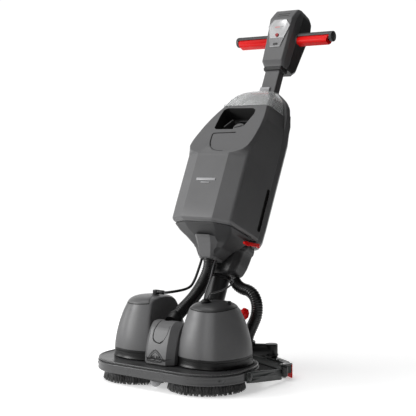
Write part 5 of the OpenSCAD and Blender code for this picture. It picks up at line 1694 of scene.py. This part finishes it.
def grip(s):
    parts = []
    R = 0.0170
    # upper shell: outer arc from rim to rim over the top
    arc_o = [(R * cos(radians(a)), R * sin(radians(a))) for a in range(-3, 184, 6)]
    shell = [(0.0169, -0.0010)] + arc_o + [(-0.0169, -0.0010), (-0.0143, -0.0010), (-0.0143, 0.0091), (-0.0060, 0.0093),
                                          (0.0060, 0.0093), (0.0143, 0.0091), (0.0143, -0.0010)]
    xs = [0.0570, 0.0574, 0.1726, 0.1730]
    rings = []
    for i, x in enumerate(xs):
        k = 0.985 if i in (0, 3) else 1.0
        rings.append([(s * x, p[0] * k, p[1] * k) for p in shell])
    parts.append(sharp(loft("shell", rings, "grip", xf=BAR), 30))
    m = BAR @ Matrix.Rotation(radians(90 * s), 4, "Y")
    parts.append(sharp(lathe("end", [(0.00902, 0.1731), (0.0164, 0.1731), (0.0170, 0.1738), (0.0170, 0.1812), (0.0164, 0.1824),
                                     (0.0150, 0.1829), (0.0001, 0.1830), (0.0001, 0.1801), (0.0090, 0.1801)], "grip", 56, m), 35))
    parts.append(sharp(lathe("ring", [(0.00902, 0.0540), (0.0162, 0.0540), (0.0170, 0.0546), (0.0170, 0.0570), (0.00902, 0.0570)],
                             "grip", 56, m, cap=False), 35))
    # raised flats moulded into the top of the shell
    for k in range(9):
        x = 0.068 + 0.0115 * k
        a = [(0.01695 * cos(radians(t)), 0.01695 * sin(radians(t))) for t in range(55, 126, 10)]
        b = [(0.0161 * cos(radians(t)), 0.0161 * sin(radians(t))) for t in range(125, 54, -10)]
        rr = [[(s * (x + d), p[0], p[1]) for p in a + b] for d in (0.0, 0.0050)]
        parts.append(loft("pad", rr, "grip", xf=BAR @ Matrix.Translation((0, 0, 0.00002))))
    return parts


gr = join("grips", grip(-1) + grip(1))
done(gr, "column", "housing_dark", "grips")


def trigger(s, name, body):
    prof = [(-0.0137, 0.0008), (-0.0137, -0.0064), (-0.0165, -0.0068), (-0.0165, -0.0150), (-0.0150, -0.0196), (-0.0108, -0.0236),
            (0.0, -0.0240), (0.0108, -0.0236), (0.0150, -0.0196), (0.0165, -0.0150), (0.0165, -0.0068), (0.0137, -0.0064),
            (0.0137, 0.0008), (0.0107, 0.0008), (0.0107, -0.0154), (-0.0107, -0.0154), (-0.0107, 0.0008)]
    rings = []
    # sloped outer end: each point stops where the end face passes it
    for x in (0.0575, 0.0580):
        k = 0.98 if x < 0.0578 else 1.0
        rings.append([(s * x, p[0] * k, p[1] * k if p[1] < 0 else p[1]) for p in prof])

    def stop(z):
        if z >= -0.004:
            return 0.1722
        if z >= -0.006:
            return 0.1719
        return 0.1719 - (-0.006 - z) * (0.008 / 0.024)
    rings.append([(s * (stop(p[1]) - 0.0006), p[0], p[1]) for p in prof])
    rings.append([(s * stop(p[1]), p[0] * 0.97, p[1] * 0.985 if p[1] < 0 else p[1]) for p in prof])
    t = loft(name, rings, "red", xf=BAR)
    sharp(t, 34)
    done(t, body, "red_plastic", name)
    return t


trigger(-1, "left_trigger", "trigger_left")
trigger(1, "right_trigger", "trigger_right")


# ------------------------------------------------ CAD nodes that stay as they are
KEEP = {
    "brush_motors": "motor", "batteries": "battery", "vacuum_motor": "motor", "vacuum_fan": "motor",
    "tilt_bracket": "pale", "tilt_axle": "steel", "rear_carrier": "paint", "deck_fasteners": "housing",
    "centre_glide": "label", "left_wheel": "rubber", "right_wheel": "rubber", "standpipe": "housing",
    "float_ring": "float", "water_pump": "housing", "control_board": "board", "handle_bar": "steel",
    "side_arms": "arm", "squeegee_beam": "arm", "rear_blade": "blade", "front_blade": "rubber",
    "blade_clamp": "steel", "suction_elbow": "gloss", "left_roller": "roller", "right_roller": "roller",
    "lock_knob": "red", "neck_tube": "paint", "column_tube": "shaft", "lower_housing": "cover",
    "underside_block": "housing", "recovery_tank": "cover", "filler_cap": "cover", "solution_tank": "cover_dark_and_painted_shade",
    "head_front_cover": "cover", "head_rear_cover": "cover_dark_and_painted_shade", "head_collar": "housing",
    "control_plate": "silver", "grips": "grip", "left_trigger": "red", "right_trigger": "red",
    "power_button": "red_deep", "water_button": "cover_dark_and_painted_shade", "tank_lid": "lid", "tank_latch": "red",
    "dome_fittings": "gloss",
}
for node_name, mat_name in KEEP.items():
    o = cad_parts.get(node_name)
    if o is None:
        print("NO NODE", node_name)
        continue
    if o.hide_render:
        continue
    o.data.materials.clear()
    o.data.materials.append(M[mat_name])

# ------------------------------------------------------------- floor and light
def floor_material():
    m = bpy.data.materials.new("studio_floor")
    m.use_nodes = True
    nt = m.node_tree
    b = nt.nodes["Principled BSDF"]
    b.inputs["Base Color"].default_value = (0.93, 0.93, 0.93, 1)
    b.inputs["Roughness"].default_value = 0.55
    b.inputs["Specular IOR Level"].default_value = 0.1
    # lit a little from below, like a translucent product table
    b.inputs["Emission Color"].default_value = (1, 1, 1, 1)
    b.inputs["Emission Strength"].default_value = 0.45
    return m


fm = floor_material()
bm = bmesh.new()
n = 96
prev = None
for r in (0.0, 0.4, 0.8, 1.25):
    ring = [bm.verts.new((max(r, 0.001) * cos(2 * pi * k / n), max(r, 0.001) * sin(2 * pi * k / n), -0.0003)) for k in range(n)]
    if prev:
        for k in range(n):
            bm.faces.new((prev[k], prev[(k + 1) % n], ring[(k + 1) % n], ring[k]))
    prev = ring
me = bpy.data.meshes.new("studio")
bm.to_mesh(me)
bm.free()
me.shade_smooth()
me.materials.append(fm)
studio = link(bpy.data.objects.new("studio", me))

world = bpy.data.worlds.new("World")
bpy.context.scene.world = world
world.use_nodes = True
wt = world.node_tree
bg = wt.nodes["Background"]
tc = wt.nodes.new("ShaderNodeTexCoord")
nrm = wt.nodes.new("ShaderNodeVectorMath")
nrm.operation = "NORMALIZE"
wt.links.new(tc.outputs["Generated"], nrm.inputs[0])


def lobe(direction, stops):
    """brightness by angle from a direction, through a ramp"""
    dt = wt.nodes.new("ShaderNodeVectorMath")
    dt.operation = "DOT_PRODUCT"
    dt.inputs[1].default_value = tuple(Vector(direction).normalized())
    mr = wt.nodes.new("ShaderNodeMapRange")
    mr.inputs["From Min"].default_value = -1.0
    mr.inputs["From Max"].default_value = 1.0
    cr = wt.nodes.new("ShaderNodeValToRGB")
    wt.links.new(nrm.outputs["Vector"], dt.inputs[0])
    wt.links.new(dt.outputs["Value"], mr.inputs["Value"])
    wt.links.new(mr.outputs["Result"], cr.inputs["Fac"])
    e = cr.color_ramp.elements
    e[0].position, e[0].color = (stops[0][0] + 1) / 2, (stops[0][1],) * 3 + (1,)
    e[1].position, e[1].color = (stops[-1][0] + 1) / 2, (stops[-1][1],) * 3 + (1,)
    for d, v in stops[1:-1]:
        q = e.new((d + 1) / 2)
        q.color = (v, v, v, 1)
    return cr.outputs["Color"]


back = lobe((-0.59, 0.81, -0.05), ((0.45, 0.0), (0.62, 0.35), (0.80, 1.0)))
soft = lobe((-0.86, -0.50, 0.12), ((-1.0, 0.015), (-0.4, 0.04), (0.1, 0.13), (0.5, 0.42), (1.0, 0.95)))
mx = wt.nodes.new("ShaderNodeMix")
mx.data_type = "RGBA"
mx.blend_type = "LIGHTEN"
mx.inputs["Factor"].default_value = 1.0
wt.links.new(back, mx.inputs["A"])
wt.links.new(soft, mx.inputs["B"])
for so in mx.inputs:
    pass
wt.links.new(back, [i for i in mx.inputs if i.name == "A" and i.type == "RGBA"][0])
wt.links.new(soft, [i for i in mx.inputs if i.name == "B" and i.type == "RGBA"][0])
wt.links.new([o for o in mx.outputs if o.type == "RGBA"][0], bg.inputs["Color"])
bg.inputs["Strength"].default_value = 1.05


def area(name, loc, target, size, power, size_y=None):
    l = bpy.data.lights.new(name, "AREA")
    l.energy = power
    l.shape = "RECTANGLE"
    l.size = size
    l.size_y = size_y or size
    o = bpy.data.objects.new(name, l)
    bpy.context.scene.collection.objects.link(o)
    o.location = loc
    d = Vector(target) - Vector(loc)
    o.rotation_euler = d.to_track_quat("-Z", "Y").to_euler()
    return o


area("key", (-3.1, -2.7, 1.5), (0, 0.1, 0.5), 1.7, 112)
area("top", (-0.8, -0.9, 3.9), (0, 0.1, 0.3), 2.4, 55)
area("strip", (2.6, -0.9, 1.3), (0, 0.1, 0.5), 0.35, 2, 2.2)
bpy.context.scene.view_settings.view_transform = "Standard"
